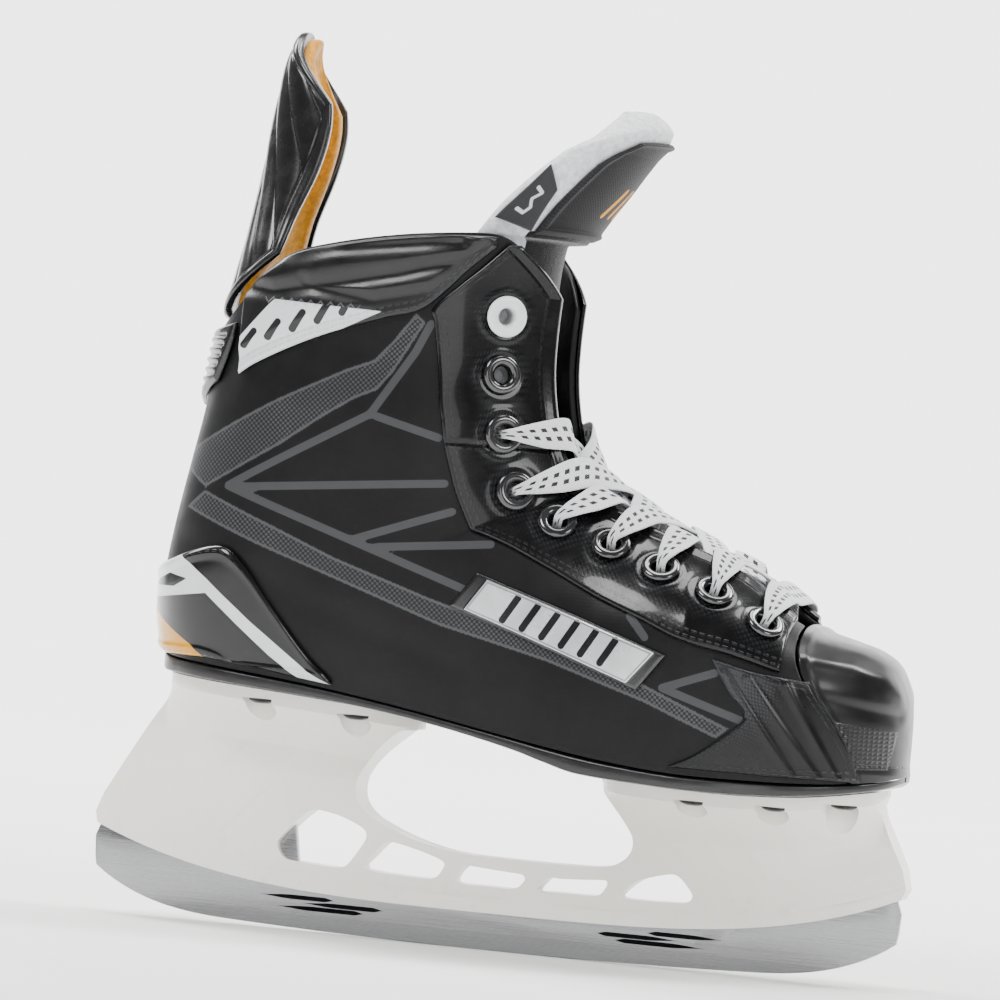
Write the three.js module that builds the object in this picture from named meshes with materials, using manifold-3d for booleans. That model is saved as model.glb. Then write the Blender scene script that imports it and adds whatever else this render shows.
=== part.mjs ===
// One hockey skate for a right foot. Millimetres, +Z up, +X to the toe, +Y to the inner (medial) side.
// The origin is the point where the rocker of the blade touches the ice, at mid thickness.
import * as THREE from 'three';
import { mergeVertices } from 'three/addons/utils/BufferGeometryUtils.js';
import Module from 'manifold-3d';

const wasm = await Module();
wasm.setup();

// ---------------------------------------------------------------- driving dimensions
const GAP = 0.3;                    // clearance between neighbouring pieces
const SEAT = 0.6;                   // clearance under an overlay that follows the boot's curve
const LAYER = 1.5;                  // thickness of an overlay
const WALL = 2.2;                   // thickness of a quarter
const LINING = 3.4;                 // thickness of the padded liner
const CAP_WALL = 2.4;               // thickness of the toe cap
const BALL_HALF_WIDTH = 46;         // boot half width at the ball of the foot
const WAIST_HALF_WIDTH = 37.5;      // at the waist of the sole
const ANKLE_HALF_WIDTH = 39.5;      // at the ankle bones
const COLLAR_HALF_WIDTH = 40;       // at the top of the collar
const TOE_X = 128;                  // foremost point of the boot
const FACING_HALF_GAP = 17;         // half of the gap that the laces cross
const BACK_DEPTH = 42;              // length over which the walls close round the heel

const RUNNER_HALF_LENGTH = 130;
const RUNNER_THICKNESS = 3;
const ROCKER_RADIUS = 2200;
const CONTACT_HALF = 4;             // half length of the flat facet at the rocker's lowest point
const SLOT_DEPTH = 7.5;             // how far the runner enters the holder's rail
const LUG_HEIGHT = 40;              // top of the runner's lugs
const LUG_HALF_LENGTH = 9;
const RAIL_HALF = 3.9;              // half thickness of the holder's lower rail
const TOWER_HALF = 8.5;             // half thickness of a tower under its flange
const FLANGE_EDGE = 4.2;            // thickness of a flange's rim
const FLANGE_SLOPE = 13;            // height over which a flange's underside slopes in
const REAR_FLANGE = { from: -109, to: -27, half: 27 };
const FRONT_FLANGE = { from: 33, to: 122.5, half: 33 };

const EYELET_COUNT = 9;
const EYELET_PITCH = 18.4;
const EYELET_BORE = 2.7;            // radius
const EYELET_BARREL = 3.7;          // outer radius of the barrel
const EYELET_RIM = 6.1;             // outer radius of the rolled rim
const LACE_WIDTH = 11;
const LACE_THICKNESS = 1.2;
const LACED_FROM = 2;               // index of the highest laced pair, counted from the top

const RIVET_SHANK = 2;
const RIVET_HEAD = 4.2;
const RIVET_HEAD_HEIGHT = 1.5;
const BOLT_RADIUS = 2.5;
const NUT_RADIUS = 5.2;
const NUT_HEIGHT = 3.6;
const BOARD = 2.4;                  // insole board thickness
const FOOTBED = 3.6;

const TONGUE_DEPTH = 9.3;            // tongue's outer face below the boot's outer face
const TONGUE_THICKNESS = 6.5;
const TONGUE_FACE = 1.2;
const TONGUE_SPLIT = 224;           // height of the fold across the tongue
const GUARD_SHELL = 2.8;
const GUARD_FELT = 4.5;

// ---------------------------------------------------------------- colours
const finish = (color, roughness, metalness = 0) =>
  new THREE.MeshStandardMaterial({ color, roughness, metalness });
const BLACK_GLOSS = 0x141416;
const BLACK_SATIN = 0x232326;
const HOLDER_WHITE = 0xe6e6df;
const STEEL = 0xb9bcc0;
const DARK_STEEL = 0x3b3c3f;
const SILVER = 0xd4d9dc;
const FELT_WHITE = 0xe9e9ec;
const GOLD_FELT = 0xd9a033;
const LINER_GREY = 0x2c2d31;

// ---------------------------------------------------------------- small maths
const clamp = (value, low, high) => Math.min(high, Math.max(low, value));
const mix = (a, b, t) => a + (b - a) * t;
const range = (count) => Array.from({ length: count }, (_, index) => index);
const steps = (count) => range(count + 1).map((index) => index / count);
const toRad = THREE.MathUtils.degToRad;

/** Smooth function through (x, y) pairs: cubic Hermite pieces with averaged slopes. */
function curveOf(pairs) {
  const slope = pairs.map((pair, i) => {
    const a = pairs[Math.max(0, i - 1)];
    const b = pairs[Math.min(pairs.length - 1, i + 1)];
    return (b[1] - a[1]) / (b[0] - a[0]);
  });
  return (x) => {
    if (x <= pairs[0][0]) return pairs[0][1];
    if (x >= pairs.at(-1)[0]) return pairs.at(-1)[1];
    const i = pairs.findIndex((pair) => pair[0] > x) - 1;
    const width = pairs[i + 1][0] - pairs[i][0];
    const t = (x - pairs[i][0]) / width;
    const t2 = t * t;
    const t3 = t2 * t;
    return (2 * t3 - 3 * t2 + 1) * pairs[i][1] + (t3 - 2 * t2 + t) * width * slope[i]
      + (3 * t2 - 2 * t3) * pairs[i + 1][1] + (t3 - t2) * width * slope[i + 1];
  };
}

/** Straight-line interpolation in a sorted table of [key, value] pairs. */
function lookUp(table, key) {
  if (key <= table[0][0]) return table[0][1];
  if (key >= table.at(-1)[0]) return table.at(-1)[1];
  let low = 0;
  let high = table.length - 1;
  while (high - low > 1) {
    const middle = (low + high) >> 1;
    if (table[middle][0] <= key) low = middle;
    else high = middle;
  }
  const t = (key - table[low][0]) / (table[high][0] - table[low][0]);
  return mix(table[low][1], table[high][1], t);
}

// ---------------------------------------------------------------- the boot's outer surface
// Cross sections fan out from a pivot line in front of the instep: upright planes across the forefoot,
// turning planes round the instep and level planes up the shaft. s numbers the planes: 0 at the toe,
// 1 at the pivot (upright), 2 at the pivot (level), and one more for each RISE above it.
const PIVOT_X = 62;
const PIVOT_Z = 165;
const RISE = 60;
const FOREFOOT = TOE_X - PIVOT_X;

// side outline: front, from the toe over the instep and up the shin
const FRONT_LINE = [
  [128.6, 74], [128, 84], [126.5, 92.5], [122.5, 101], [116, 105.3], [108, 107.6], [99, 110], [91, 114],
  [83, 119.8], [75, 125], [66, 129.5], [58, 133], [50, 137], [42, 141], [35, 144.8], [28, 149.3], [21.5, 155],
  [17, 162], [14.5, 171], [13, 181], [12.5, 191], [12.5, 201], [13, 211], [14.5, 221], [17, 231],
];
// side outline: the edge where the upper meets the sole, then round the heel and up the back
const BACK_LINE = [
  [129, 67.5], [122, 65.3], [105, 63.3], [80, 62.5], [60, 62.6], [40, 64.2], [20, 66.8], [0, 70], [-30, 75],
  [-60, 79.2], [-90, 82.2], [-104, 83.4], [-110.6, 84.6], [-112.6, 90], [-113.7, 97], [-114, 105],
  [-113.5, 114],
  [-112.2, 124], [-110.2, 136], [-108, 148], [-105.8, 160], [-104.2, 171], [-102.8, 182], [-101, 193],
  [-99, 204], [-97.5, 215], [-96.5, 228],
];

/** Section number and distance from the pivot line of the point (x, z) of the side view. */
function locate(x, z) {
  if (z >= PIVOT_Z) return [2 + (z - PIVOT_Z) / RISE, PIVOT_X - x];
  if (x >= PIVOT_X) return [(TOE_X - x) / FOREFOOT, PIVOT_Z - z];
  const turn = Math.atan2(PIVOT_X - x, PIVOT_Z - z);
  return [1 + turn / (Math.PI / 2), Math.hypot(PIVOT_X - x, PIVOT_Z - z)];
}

/** The point of the side view at distance r from the pivot line in section s. */
function sidePoint(s, r) {
  if (s <= 1) return [TOE_X - s * FOREFOOT, PIVOT_Z - r];
  if (s >= 2) return [PIVOT_X - r, PIVOT_Z + (s - 2) * RISE];
  const turn = (s - 1) * Math.PI / 2;
  return [PIVOT_X - r * Math.sin(turn), PIVOT_Z - r * Math.cos(turn)];
}

function radialTable(points) {
  const spline = new THREE.SplineCurve(points.map(([x, z]) => new THREE.Vector2(x, z)));
  const table = spline.getPoints(600).map((point) => locate(point.x, point.y));
  return table.sort((a, b) => a[0] - b[0]);
}
const frontTable = radialTable(FRONT_LINE);
const backTable = radialTable(BACK_LINE);
const backEdge = new THREE.SplineCurve(BACK_LINE.slice(11).map(([x, z]) => new THREE.Vector2(z, x)))
  .getPoints(200).map((point) => [point.x, point.y]).sort((a, b) => a[0] - b[0]);
const soleEdge = new THREE.SplineCurve(BACK_LINE.slice(0, 13).map(([x, z]) => new THREE.Vector2(x, z)))
  .getPoints(200).map((point) => [point.x, point.y]).sort((a, b) => a[0] - b[0]);
const backX = (z) => lookUp(backEdge, z);       // the back outline at height z
const soleZ = (x) => lookUp(soleEdge, x);       // the upper's lower edge at x

const widest = curveOf([
  [1, BALL_HALF_WIDTH], [1.18, BALL_HALF_WIDTH - 2.5], [1.35, WAIST_HALF_WIDTH + 2], [1.5, WAIST_HALF_WIDTH],
  [1.7, WAIST_HALF_WIDTH], [1.86, ANKLE_HALF_WIDTH - 0.8], [2, ANKLE_HALF_WIDTH],
  [2.35, (ANKLE_HALF_WIDTH + COLLAR_HALF_WIDTH) / 2 - 1.5], [3, COLLAR_HALF_WIDTH],
]);
const tuckOf = curveOf([[0, 0.05], [1, 0.05], [1.45, 0.13], [1.7, 0.09], [1.8, 0], [3, 0]]);
const bluntness = curveOf([[0, 2.7], [0.45, 2.5], [0.9, 2], [3, 2]]);
const shoulderOf = curveOf([[0, 0.5], [0.6, 0.46], [1.2, 0.44], [2, 0.4], [3, 0.4]]);

function halfWidthOf(s) {
  if (s >= 1) return widest(s);
  return BALL_HALF_WIDTH * Math.sqrt(Math.max(0, 1 - Math.pow(1 - s, 2.7)));
}

/** q runs from 0 on the front outline to 1 on the back outline; v spreads it evenly along the girth. */
function shareOf(s, v) {
  const shoulder = shoulderOf(s);
  if (v < 1) return shoulder * (1 - Math.pow(Math.cos(v * Math.PI / 2), 2 / bluntness(s)));
  return shoulder + (1 - shoulder) * Math.sin((v - 1) * Math.PI / 2);
}
function girthOf(s, q) {
  const shoulder = shoulderOf(s);
  if (q < shoulder) {
    return Math.acos(Math.pow(clamp(1 - q / shoulder, 0, 1), bluntness(s) / 2)) * 2 / Math.PI;
  }
  return 1 + Math.asin(clamp((q - shoulder) / (1 - shoulder), 0, 1)) * 2 / Math.PI;
}

/** How far the walls have closed round the back at (x, z): 1 ahead of the heel, 0 on the back outline. */
function heelRound(x, z) {
  const back = backX(Math.max(z, 84.8));
  const t = clamp((back + BACK_DEPTH - x) / BACK_DEPTH, 0, 1);
  return Math.sqrt(1 - Math.pow(t, 2.3));
}

function halfWidthAt(s, v, x, z) {
  const w = halfWidthOf(s);
  const shoulder = shoulderOf(s);
  if (v < 1) return w * Math.pow(Math.sin(v * Math.PI / 2), 2 / bluntness(s)) * heelRound(x, z);
  const q = shareOf(s, v);
  const tuck = 1 - tuckOf(s) * Math.pow((q - shoulder) / (1 - shoulder), 2);
  return w * tuck * heelRound(x, z);
}

/** Point of the outer surface, side = -1 on the outer side of the foot and +1 on the inner side. */
function bootPoint(s, v, side) {
  const front = lookUp(frontTable, s);
  const back = lookUp(backTable, s);
  const [x, z] = sidePoint(s, mix(front, back, shareOf(s, v)));
  return new THREE.Vector3(x, side * halfWidthAt(s, v, x, z), z);
}

const STEP_S = 0.004;
const STEP_V = 0.004;
function bootNormal(s, v, side) {
  const s0 = clamp(s, 0.006, 3.1);
  const v0 = clamp(v, STEP_V, 2 - STEP_V);
  const along = bootPoint(s0 + STEP_S, v0, side).sub(bootPoint(s0 - STEP_S, v0, side));
  const across = bootPoint(s0, v0 + STEP_V, side).sub(bootPoint(s0, v0 - STEP_V, side));
  return across.cross(along).multiplyScalar(side).normalize();
}

/** Point at a height above the outer surface (below it when negative), kept on its own side. */
function bootOffset(s, v, side, height) {
  const point = bootPoint(s, v, side).addScaledVector(bootNormal(s, v, side), height);
  if (v > 0.02) point.y = side * Math.max(side * point.y, GAP / 2);
  return point;
}

/** The same for a place given in the side view. */
function overSide(x, z, side, height) {
  const [s, r] = locate(x, z);
  const front = lookUp(frontTable, s);
  const back = lookUp(backTable, s);
  const v = girthOf(s, clamp((r - front) / (back - front), 0, 1));
  return bootOffset(s, v, side, height);
}

// ---------------------------------------------------------------- solids
function meshGeometry(positions, indices) {
  const raw = new THREE.BufferGeometry();
  raw.setAttribute('position', new THREE.Float32BufferAttribute(positions, 3));
  raw.setIndex(indices);
  const geometry = mergeVertices(raw, 1e-3);
  const index = geometry.index.array;
  const kept = [];
  for (let i = 0; i < index.length; i += 3) {
    const [a, b, c] = [index[i], index[i + 1], index[i + 2]];
    if (a !== b && b !== c && a !== c) kept.push(a, b, c);
  }
  geometry.setIndex(kept);
  return facingOut(geometry);
}

function facingOut(geometry) {
  const position = geometry.attributes.position;
  const index = geometry.index.array;
  const [a, b, c] = [new THREE.Vector3(), new THREE.Vector3(), new THREE.Vector3()];
  let volume = 0;
  for (let i = 0; i < index.length; i += 3) {
    a.fromBufferAttribute(position, index[i]);
    b.fromBufferAttribute(position, index[i + 1]);
    c.fromBufferAttribute(position, index[i + 2]);
    volume += a.dot(b.cross(c));
  }
  if (volume < 0) {
    const turned = Array.from(index);
    for (let i = 0; i < turned.length; i += 3) [turned[i], turned[i + 1]] = [turned[i + 1], turned[i]];
    geometry.setIndex(turned);
  }
  return geometry;
}

/** Closed plate between an outer and an inner grid of points (rows of equal length). */
function plate(outer, inner, welded = false) {
  const rows = outer.length;
  const columns = outer[0].length;
  const positions = [...outer.flat(), ...inner.flat()].flatMap((point) => [point.x, point.y, point.z]);
  const at = (layer, i, j) => layer * rows * columns + i * columns + j;
  const indices = [];
  const quad = (p, q, r, t) => indices.push(p, q, r, p, r, t);
  for (let i = 0; i < rows - 1; i += 1) {
    for (let j = 0; j < columns - 1; j += 1) {
      quad(at(0, i, j), at(0, i + 1, j), at(0, i + 1, j + 1), at(0, i, j + 1));
      quad(at(1, i, j), at(1, i, j + 1), at(1, i + 1, j + 1), at(1, i + 1, j));
    }
    quad(at(0, i, 0), at(1, i, 0), at(1, i + 1, 0), at(0, i + 1, 0));
    const last = columns - 1;
    quad(at(0, i, last), at(0, i + 1, last), at(1, i + 1, last), at(1, i, last));
  }
  for (let j = 0; j < columns - 1; j += 1) {
    const end = rows - 1;
    quad(at(0, 0, j), at(0, 0, j + 1), at(1, 0, j + 1), at(1, 0, j));
    if (!welded) quad(at(0, end, j), at(1, end, j), at(1, end, j + 1), at(0, end, j + 1));
  }
  return meshGeometry(positions, indices);
}

/** Solid whose rows are closed rings of points, with flat fans closing both ends. */
function loft(rings) {
  const columns = rings[0].length;
  const positions = rings.flat().flatMap((point) => [point.x, point.y, point.z]);
  const indices = [];
  for (let i = 0; i < rings.length - 1; i += 1) {
    for (let j = 0; j < columns; j += 1) {
      const next = (j + 1) % columns;
      const [a, b] = [i * columns + j, i * columns + next];
      indices.push(a, b, b + columns, a, b + columns, a + columns);
    }
  }
  const tail = (rings.length - 1) * columns;
  for (let j = 1; j < columns - 1; j += 1) {
    indices.push(0, j + 1, j);
    indices.push(tail, tail + j, tail + j + 1);
  }
  return meshGeometry(positions, indices);
}

function solidOf(geometry) {
  const bare = geometry.clone();
  for (const name of Object.keys(bare.attributes)) {
    if (name !== 'position') bare.deleteAttribute(name);
  }
  const merged = mergeVertices(bare, 1e-4);
  const mesh = new wasm.Mesh({
    numProp: 3,
    vertProperties: new Float32Array(merged.attributes.position.array),
    triVerts: new Uint32Array(merged.index.array),
  });
  return new wasm.Manifold(mesh);
}

function geometryOf(solid) {
  const mesh = solid.getMesh();
  const geometry = new THREE.BufferGeometry();
  geometry.setAttribute('position', new THREE.Float32BufferAttribute(mesh.vertProperties, 3));
  geometry.setIndex(Array.from(mesh.triVerts));
  return geometry;
}

function cut(geometry, tools) {
  return geometryOf(tools.reduce((solid, tool) => solid.subtract(solidOf(tool)), solidOf(geometry)));
}

/** Upright cylinder from one height to another. */
function post(x, y, z0, z1, radius, sides = 12) {
  return new THREE.CylinderGeometry(radius, radius, z1 - z0, sides)
    .rotateX(Math.PI / 2).translate(x, y, (z0 + z1) / 2);
}

/** Plate of a side-view outline, centred on y = 0. */
function sidePlate(points, thickness) {
  const shape = new THREE.Shape(points.map(([x, z]) => new THREE.Vector2(x, z)));
  return new THREE.ExtrudeGeometry(shape, { depth: thickness, bevelEnabled: false })
    .translate(0, 0, -thickness / 2).rotateX(Math.PI / 2);
}

const group = new THREE.Group();
function add(name, geometry, material) {
  const mesh = new THREE.Mesh(geometry, material);
  mesh.name = name;
  group.add(mesh);
}

const SIDES = [['lateral', -1], ['medial', 1]];

// ---------------------------------------------------------------- places shared by several pieces
const capBorderX = curveOf([[64, 115], [73, 112], [83, 107], [92, 101], [100, 97], [108, 95.5], [120, 95]]);
const girthAtWidth = (s, width) =>
  Math.asin(Math.pow(width / halfWidthOf(s), bluntness(s) / 2)) * 2 / Math.PI;
const edgeGirth = (s) => girthAtWidth(s, FACING_HALF_GAP);
const collarTopZ = curveOf([
  [-101.5, 187.6], [-98.5, 189.6], [-92, 196], [-84, 204.6], [-75, 212], [-60, 216.8], [-40, 220.8],
  [-20, 223], [-8, 223], [-2, 219.5], [3, 214], [7.5, 205], [9, 200],
]);

/** Section number where the toe cap's rear border is met at the girth that girthAt gives. */
function borderSection(girthAt) {
  let s = 0.4;
  for (let pass = 0; pass < 14; pass += 1) {
    s = (TOE_X - capBorderX(bootPoint(s, girthAt(s), 1).z)) / FOREFOOT;
  }
  return s;
}

/** Section number where the collar's top line is met at the girth that girthAt gives. */
function topSection(girthAt) {
  let s = 2.8;
  for (let pass = 0; pass < 14; pass += 1) {
    const top = 2 + (collarTopZ(bootPoint(s, girthAt(s), 1).x) - PIVOT_Z) / RISE;
    s = mix(s, top, 0.6);
  }
  return s;
}

/** Section numbers spread so that rows crowd round the heel corner. */
const HEEL_SECTION = locate(-111, 85)[0];
function spreadSections(from, to, count) {
  const anchors = [from, 0.75, 1, 1.12, 1.25, 1.45, 1.58, 1.66, HEEL_SECTION, 1.76, 1.85, 2, 2.3, to];
  return steps(count).map((t) => {
    const place = t * (anchors.length - 1);
    const i = Math.min(anchors.length - 2, Math.floor(place));
    return mix(anchors[i], anchors[i + 1], place - i);
  });
}

// ---------------------------------------------------------------- eyelets
function eyeletPlaces(side) {
  const EYELET_SHARE = 0.165;
  const line = range(601).map((i) => {
    const s = mix(0.66, 2.8, i / 600);
    return { s, v: girthOf(s, EYELET_SHARE), point: bootPoint(s, girthOf(s, EYELET_SHARE), side) };
  });
  const places = [line[0]];
  let travelled = 0;
  for (let i = 1; i < line.length && places.length < EYELET_COUNT; i += 1) {
    travelled += line[i].point.distanceTo(line[i - 1].point);
    if (travelled >= EYELET_PITCH * places.length) places.push(line[i]);
  }
  return places.reverse().map(({ s, v, point }) => {
    const place = { s, v, point, normal: bootNormal(s, v, side) };
    return { ...place, rise: seatRise(place, side) };
  });
}

/** How far the surface rises above its tangent plane round the rim of an eyelet: more where it is hollow. */
function seatRise({ s, v, point, normal }, side) {
  const perSection = bootPoint(s + STEP_S, v, side).distanceTo(point) / STEP_S;
  const perGirth = bootPoint(s, v + STEP_V, side).distanceTo(point) / STEP_V;
  const rises = range(12).map((k) => {
    const angle = k * Math.PI / 6;
    const [ds, dv] = [EYELET_RIM * Math.cos(angle) / perSection, EYELET_RIM * Math.sin(angle) / perGirth];
    return bootPoint(s + ds, v + dv, side).sub(point).dot(normal);
  });
  return Math.max(0, ...rises);
}

function alongNormal(geometry, place) {
  const turn = new THREE.Quaternion().setFromUnitVectors(new THREE.Vector3(0, 1, 0), place.normal);
  return geometry.applyQuaternion(turn).translate(place.point.x, place.point.y, place.point.z);
}

const EYELET_UNDER = -(WALL + 1.6);               // inner washer's upper face
const EYELET_OVER = SEAT + LAYER + GAP;           // outer rim's lower face
function eyelet(place) {
  const over = EYELET_OVER + place.rise;
  const profile = [
    [EYELET_BORE, EYELET_UNDER - 1], [EYELET_BARREL + 0.8, EYELET_UNDER - 1],
    [EYELET_BARREL + 0.8, EYELET_UNDER], [EYELET_BARREL, EYELET_UNDER],
    [EYELET_BARREL, over], [EYELET_RIM, over], [EYELET_RIM - 0.9, over + 1.2],
    [EYELET_BORE + 0.5, over + 0.8], [EYELET_BORE, EYELET_UNDER - 1],
  ].map(([r, h]) => new THREE.Vector2(r, h));
  return alongNormal(new THREE.LatheGeometry(profile, 9), place);
}

const eyeletSites = { '-1': eyeletPlaces(-1), 1: eyeletPlaces(1) };
function eyeletCutters(side) {
  return eyeletSites[side].map((place) =>
    alongNormal(new THREE.CylinderGeometry(EYELET_BARREL + SEAT, EYELET_BARREL + SEAT, 9, 8), place));
}

// ---------------------------------------------------------------- upper
/** Grid over the side of the boot between girths and between section numbers that depend on girth. */
function sideGrid(side, rows, columns, sectionsAt, girthAt, height) {
  return rows.map((t) => columns.map((g) => {
    const s = sectionsAt(t, g);
    return bootOffset(s, girthAt(s, g), side, height);
  }));
}

const QUARTER_ROWS = 26;
const GIRTHS = [0, 0.45, 0.7, 1, 1.35, 1.62, 1.8, 1.91, 2];
function quarter(side) {
  const girthAt = (s, g) => Math.max(edgeGirth(clamp(s, 0.2, 3)), g);
  const sectionAt = (t, g) => {
    const from = borderSection((s) => girthAt(s, g)) + 3 * GAP / FOREFOOT;
    const to = topSection((s) => girthAt(s, g));
    return spreadSections(from, to, QUARTER_ROWS)[Math.round(t * QUARTER_ROWS)];
  };
  const rows = steps(QUARTER_ROWS);
  const outer = sideGrid(side, rows, GIRTHS, sectionAt, girthAt, 0);
  const inner = sideGrid(side, rows, GIRTHS, sectionAt, girthAt, -WALL);
  return cut(plate(outer, inner), eyeletCutters(side));
}

function toeCap() {
  const rows = steps(7);
  const half = [0.22, 0.45, 0.7, 1, 1.35, 1.62, 2];
  const columns = [...half.map((v) => -v).reverse(), 0, ...half];
  const grid = (height) => rows.map((t) => columns.map((c) => {
    const side = c < 0 ? -1 : 1;
    const v = Math.abs(c);
    const across = Math.asin(1 - borderSection(() => v));
    const s = 1 - Math.sin(mix(across, Math.PI / 2, t));
    const place = bootPoint(Math.max(s, 0), v, side)
      .addScaledVector(bootNormal(Math.max(s, 0.004), Math.max(v, 0.01), side), height);
    if (t === 1 || v < 0.01) place.y = 0;
    return place;
  }));
  return plate(grid(0), grid(-CAP_WALL), true);
}

const facingRear = curveOf([
  [0.5, 0.325], [0.66, 0.365], [0.85, 0.395], [1, 0.405], [1.15, 0.375], [1.35, 0.35], [1.55, 0.31],
  [1.72, 0.275], [1.85, 0.285], [2, 0.31], [2.25, 0.32], [2.5, 0.345], [2.56, 0.355], [2.7, 0.29],
  [2.8, 0.24], [2.93, 0.185],
]);
const FACING_TOP = 2.93;
function facing(side) {
  const rows = steps(28).map((t) => mix(0.545, FACING_TOP, t));
  const columns = steps(6);
  const grid = (height) => rows.map((s) => columns.map((g) => {
    const topEdge = girthOf(s, s < 2.6 ? 0.03 : 0.03 + 0.125 * Math.pow((s - 2.6) / 0.33, 1.7));
    const from = Math.max(edgeGirth(s), topEdge);
    return bootOffset(s, mix(from, girthOf(s, facingRear(s)), g), side, height);
  }));
  return cut(plate(grid(SEAT + LAYER), grid(SEAT)), eyeletCutters(side));
}

const strapRear = curveOf([[64, 58.5], [68.5, 68], [78, 80], [83, 82.5], [88, 77.5], [97, 70.5]]);
const strapTop = curveOf([[60, 101], [70, 99.2], [84, 96], [99, 94.2]]);
function vampStrap(side) {
  const rows = steps(7);
  const columns = steps(5);
  const grid = (height) => rows.map((t) => columns.map((g) => {
    const level = mix(64.6, 96, t);
    const x = mix(strapRear(level), capBorderX(level) + 2, g);
    return overSide(x, mix(64.6, strapTop(x), t), side, height);
  }));
  return plate(grid(SEAT + LAYER), grid(SEAT));
}

const collarLow = curveOf([
  [-90, 172.5], [-82.5, 177.5], [-61.5, 187.8], [-41.5, 194.8], [-29.5, 199], [-16, 213], [-9, 220],
]);
function collar(side) {
  const rows = steps(12).map((t) => mix(-88.5, -9.5, t));
  const columns = steps(4);
  const grid = (height) => rows.map((x) => columns.map((g) => {
    const top = collarTopZ(x) - 0.6;
    return overSide(x, mix(Math.min(collarLow(x), top - 1), top, g), side, height);
  }));
  return plate(grid(SEAT + LAYER), grid(SEAT));
}

const COUNTER_FRONT = -50;
const counterTop = curveOf([[0, 110.5], [0.3, 114], [0.58, 119.6], [0.68, 115], [0.8, 102], [0.92, 88],
  [1, 80.8]]);
function wrapRow(z, columns, frontX, height) {
  return columns.map((k) => {
    const side = k < 0 ? -1 : 1;
    const share = 1 - Math.cos(Math.abs(k) * Math.PI / 2);
    const x = backX(z) + 0.02 + (frontX(z) - backX(z)) * share;
    const point = overSide(x, z, side, height);
    if (k === 0) point.y = 0;
    return point;
  });
}

function heelCounter() {
  const columns = range(19).map((j) => -1 + j / 9);
  const grid = (height) => steps(4).map((m) => columns.map((k) => {
    const low = Math.max(84.9, soleZ(mix(-112, COUNTER_FRONT, 1 - Math.cos(k * Math.PI / 2))) + 0.9);
    const lowest = Math.abs(k) > 0.5 ? mix(low, 79.6, (Math.abs(k) - 0.5) * 2) : low;
    const z = mix(lowest, counterTop(Math.abs(k)), m);
    return wrapRow(z, [k], () => COUNTER_FRONT, height)[0];
  }));
  return plate(grid(SEAT + LAYER), grid(SEAT));
}

function sideBadge(side) {
  const corners = [[-14, 107.5], [-6, 118.5], [57, 98.5], [48.5, 87]];
  const grid = (height) => steps(3).map((t) => steps(12).map((g) => {
    const x = mix(mix(corners[0][0], corners[3][0], g), mix(corners[1][0], corners[2][0], g), t);
    const z = mix(mix(corners[0][1], corners[3][1], g), mix(corners[1][1], corners[2][1], g), t);
    return overSide(x, z, side, height);
  }));
  return plate(grid(SEAT + 1.1), grid(SEAT));
}

function ankleLining(side) {
  const columns = GIRTHS.slice(2);
  const girthAt = (s, g) => Math.max(girthOf(s, 0.27), g);
  const rows = QUARTER_ROWS;
  const grid = (height) => range(rows + 1).map((i) => columns.map((g) => {
    const top = topSection((s) => girthAt(s, g)) - 0.04;
    const s = spreadSections(0.62, top, rows)[i];
    const floorAt = (x) => soleZ(clamp(x, -109, 120)) + BOARD + 4 * GAP;
    let v = girthAt(s, g);
    const isUnderFloor = () => {
      const { x, z } = bootPoint(s, v, side);
      return z < floorAt(x);
    };
    for (let pass = 0; pass < 40 && isUnderFloor(); pass += 1) v -= 0.01;
    return bootOffset(s, v, side, height);
  }));
  return plate(grid(-(WALL + 2 * SEAT)), grid(-(WALL + 2 * SEAT + LINING)));
}

// ---------------------------------------------------------------- sole
const outsoleLow = curveOf([
  [-111.5, 80], [-108, 78.6], [-49, 74.2], [-29, 71.8], [-9, 68.4], [10, 64.4], [20, 61.6], [30, 59.2],
  [50, 58],
  [70, 57.5], [85, 57.8], [100, 58.8], [115, 61], [124, 63], [128.5, 65.5],
]);
const lowHalfWidth = (x, lift) => Math.abs(overSide(clamp(x, -113, 127.9), soleZ(x) + lift, 1, 0).y);

/** Level slab that follows the sole: half width and the heights of both faces are functions of x. */
function soleSlab(from, to, halfWidth, lowFace, highFace, rows) {
  const middle = (from + to) / 2;
  const rings = steps(rows).map((t) => {
    const x = middle - Math.cos(t * Math.PI) * (to - from) / 2;
    const half = Math.max(halfWidth(x), 1.5);
    const across = [-1, 0, 1];
    const low = across.map((k) => new THREE.Vector3(x, k * half, lowFace(x)));
    const high = across.map((k) => new THREE.Vector3(x, -k * half, highFace(x)));
    return [...low, ...high];
  });
  return loft(rings);
}

const rivetSpots = SIDES.flatMap(([name, side]) => [
  [-75, 20], [-44.5, 19], [65.5, 24.5], [91, 23.5], [111.5, 17],
].map(([x, y], i) => ({ name: `${name}_rivet_${i + 1}`, x, y: side * y })));
const BOLT_SPOTS = [['rear', -72], ['front', 80]];

const outsoleTop = (x) => soleZ(x) - GAP;
const boardLow = (x) => soleZ(x) + GAP;
const boardHigh = (x) => soleZ(x) + GAP + BOARD;

function rivetHoles(radius) {
  return rivetSpots.map(({ x, y }) => post(x, y, 40, 100, radius, 6));
}

function outsole() {
  const half = (x) => lowHalfWidth(x, 1.5) + 0.6;
  return cut(soleSlab(-111.6, 128.2, half, outsoleLow, outsoleTop, 20), rivetHoles(RIVET_SHANK + GAP));
}

/** Half width of what fits inside the upper at x: the narrowest place within a margin, less the margin. */
function innerHalf(x, lift, margin) {
  const near = [-1, -0.5, 0, 0.5, 1].map((k) => lowHalfWidth(x + k * margin, lift));
  return Math.min(...near) - margin - SEAT;
}

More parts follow.
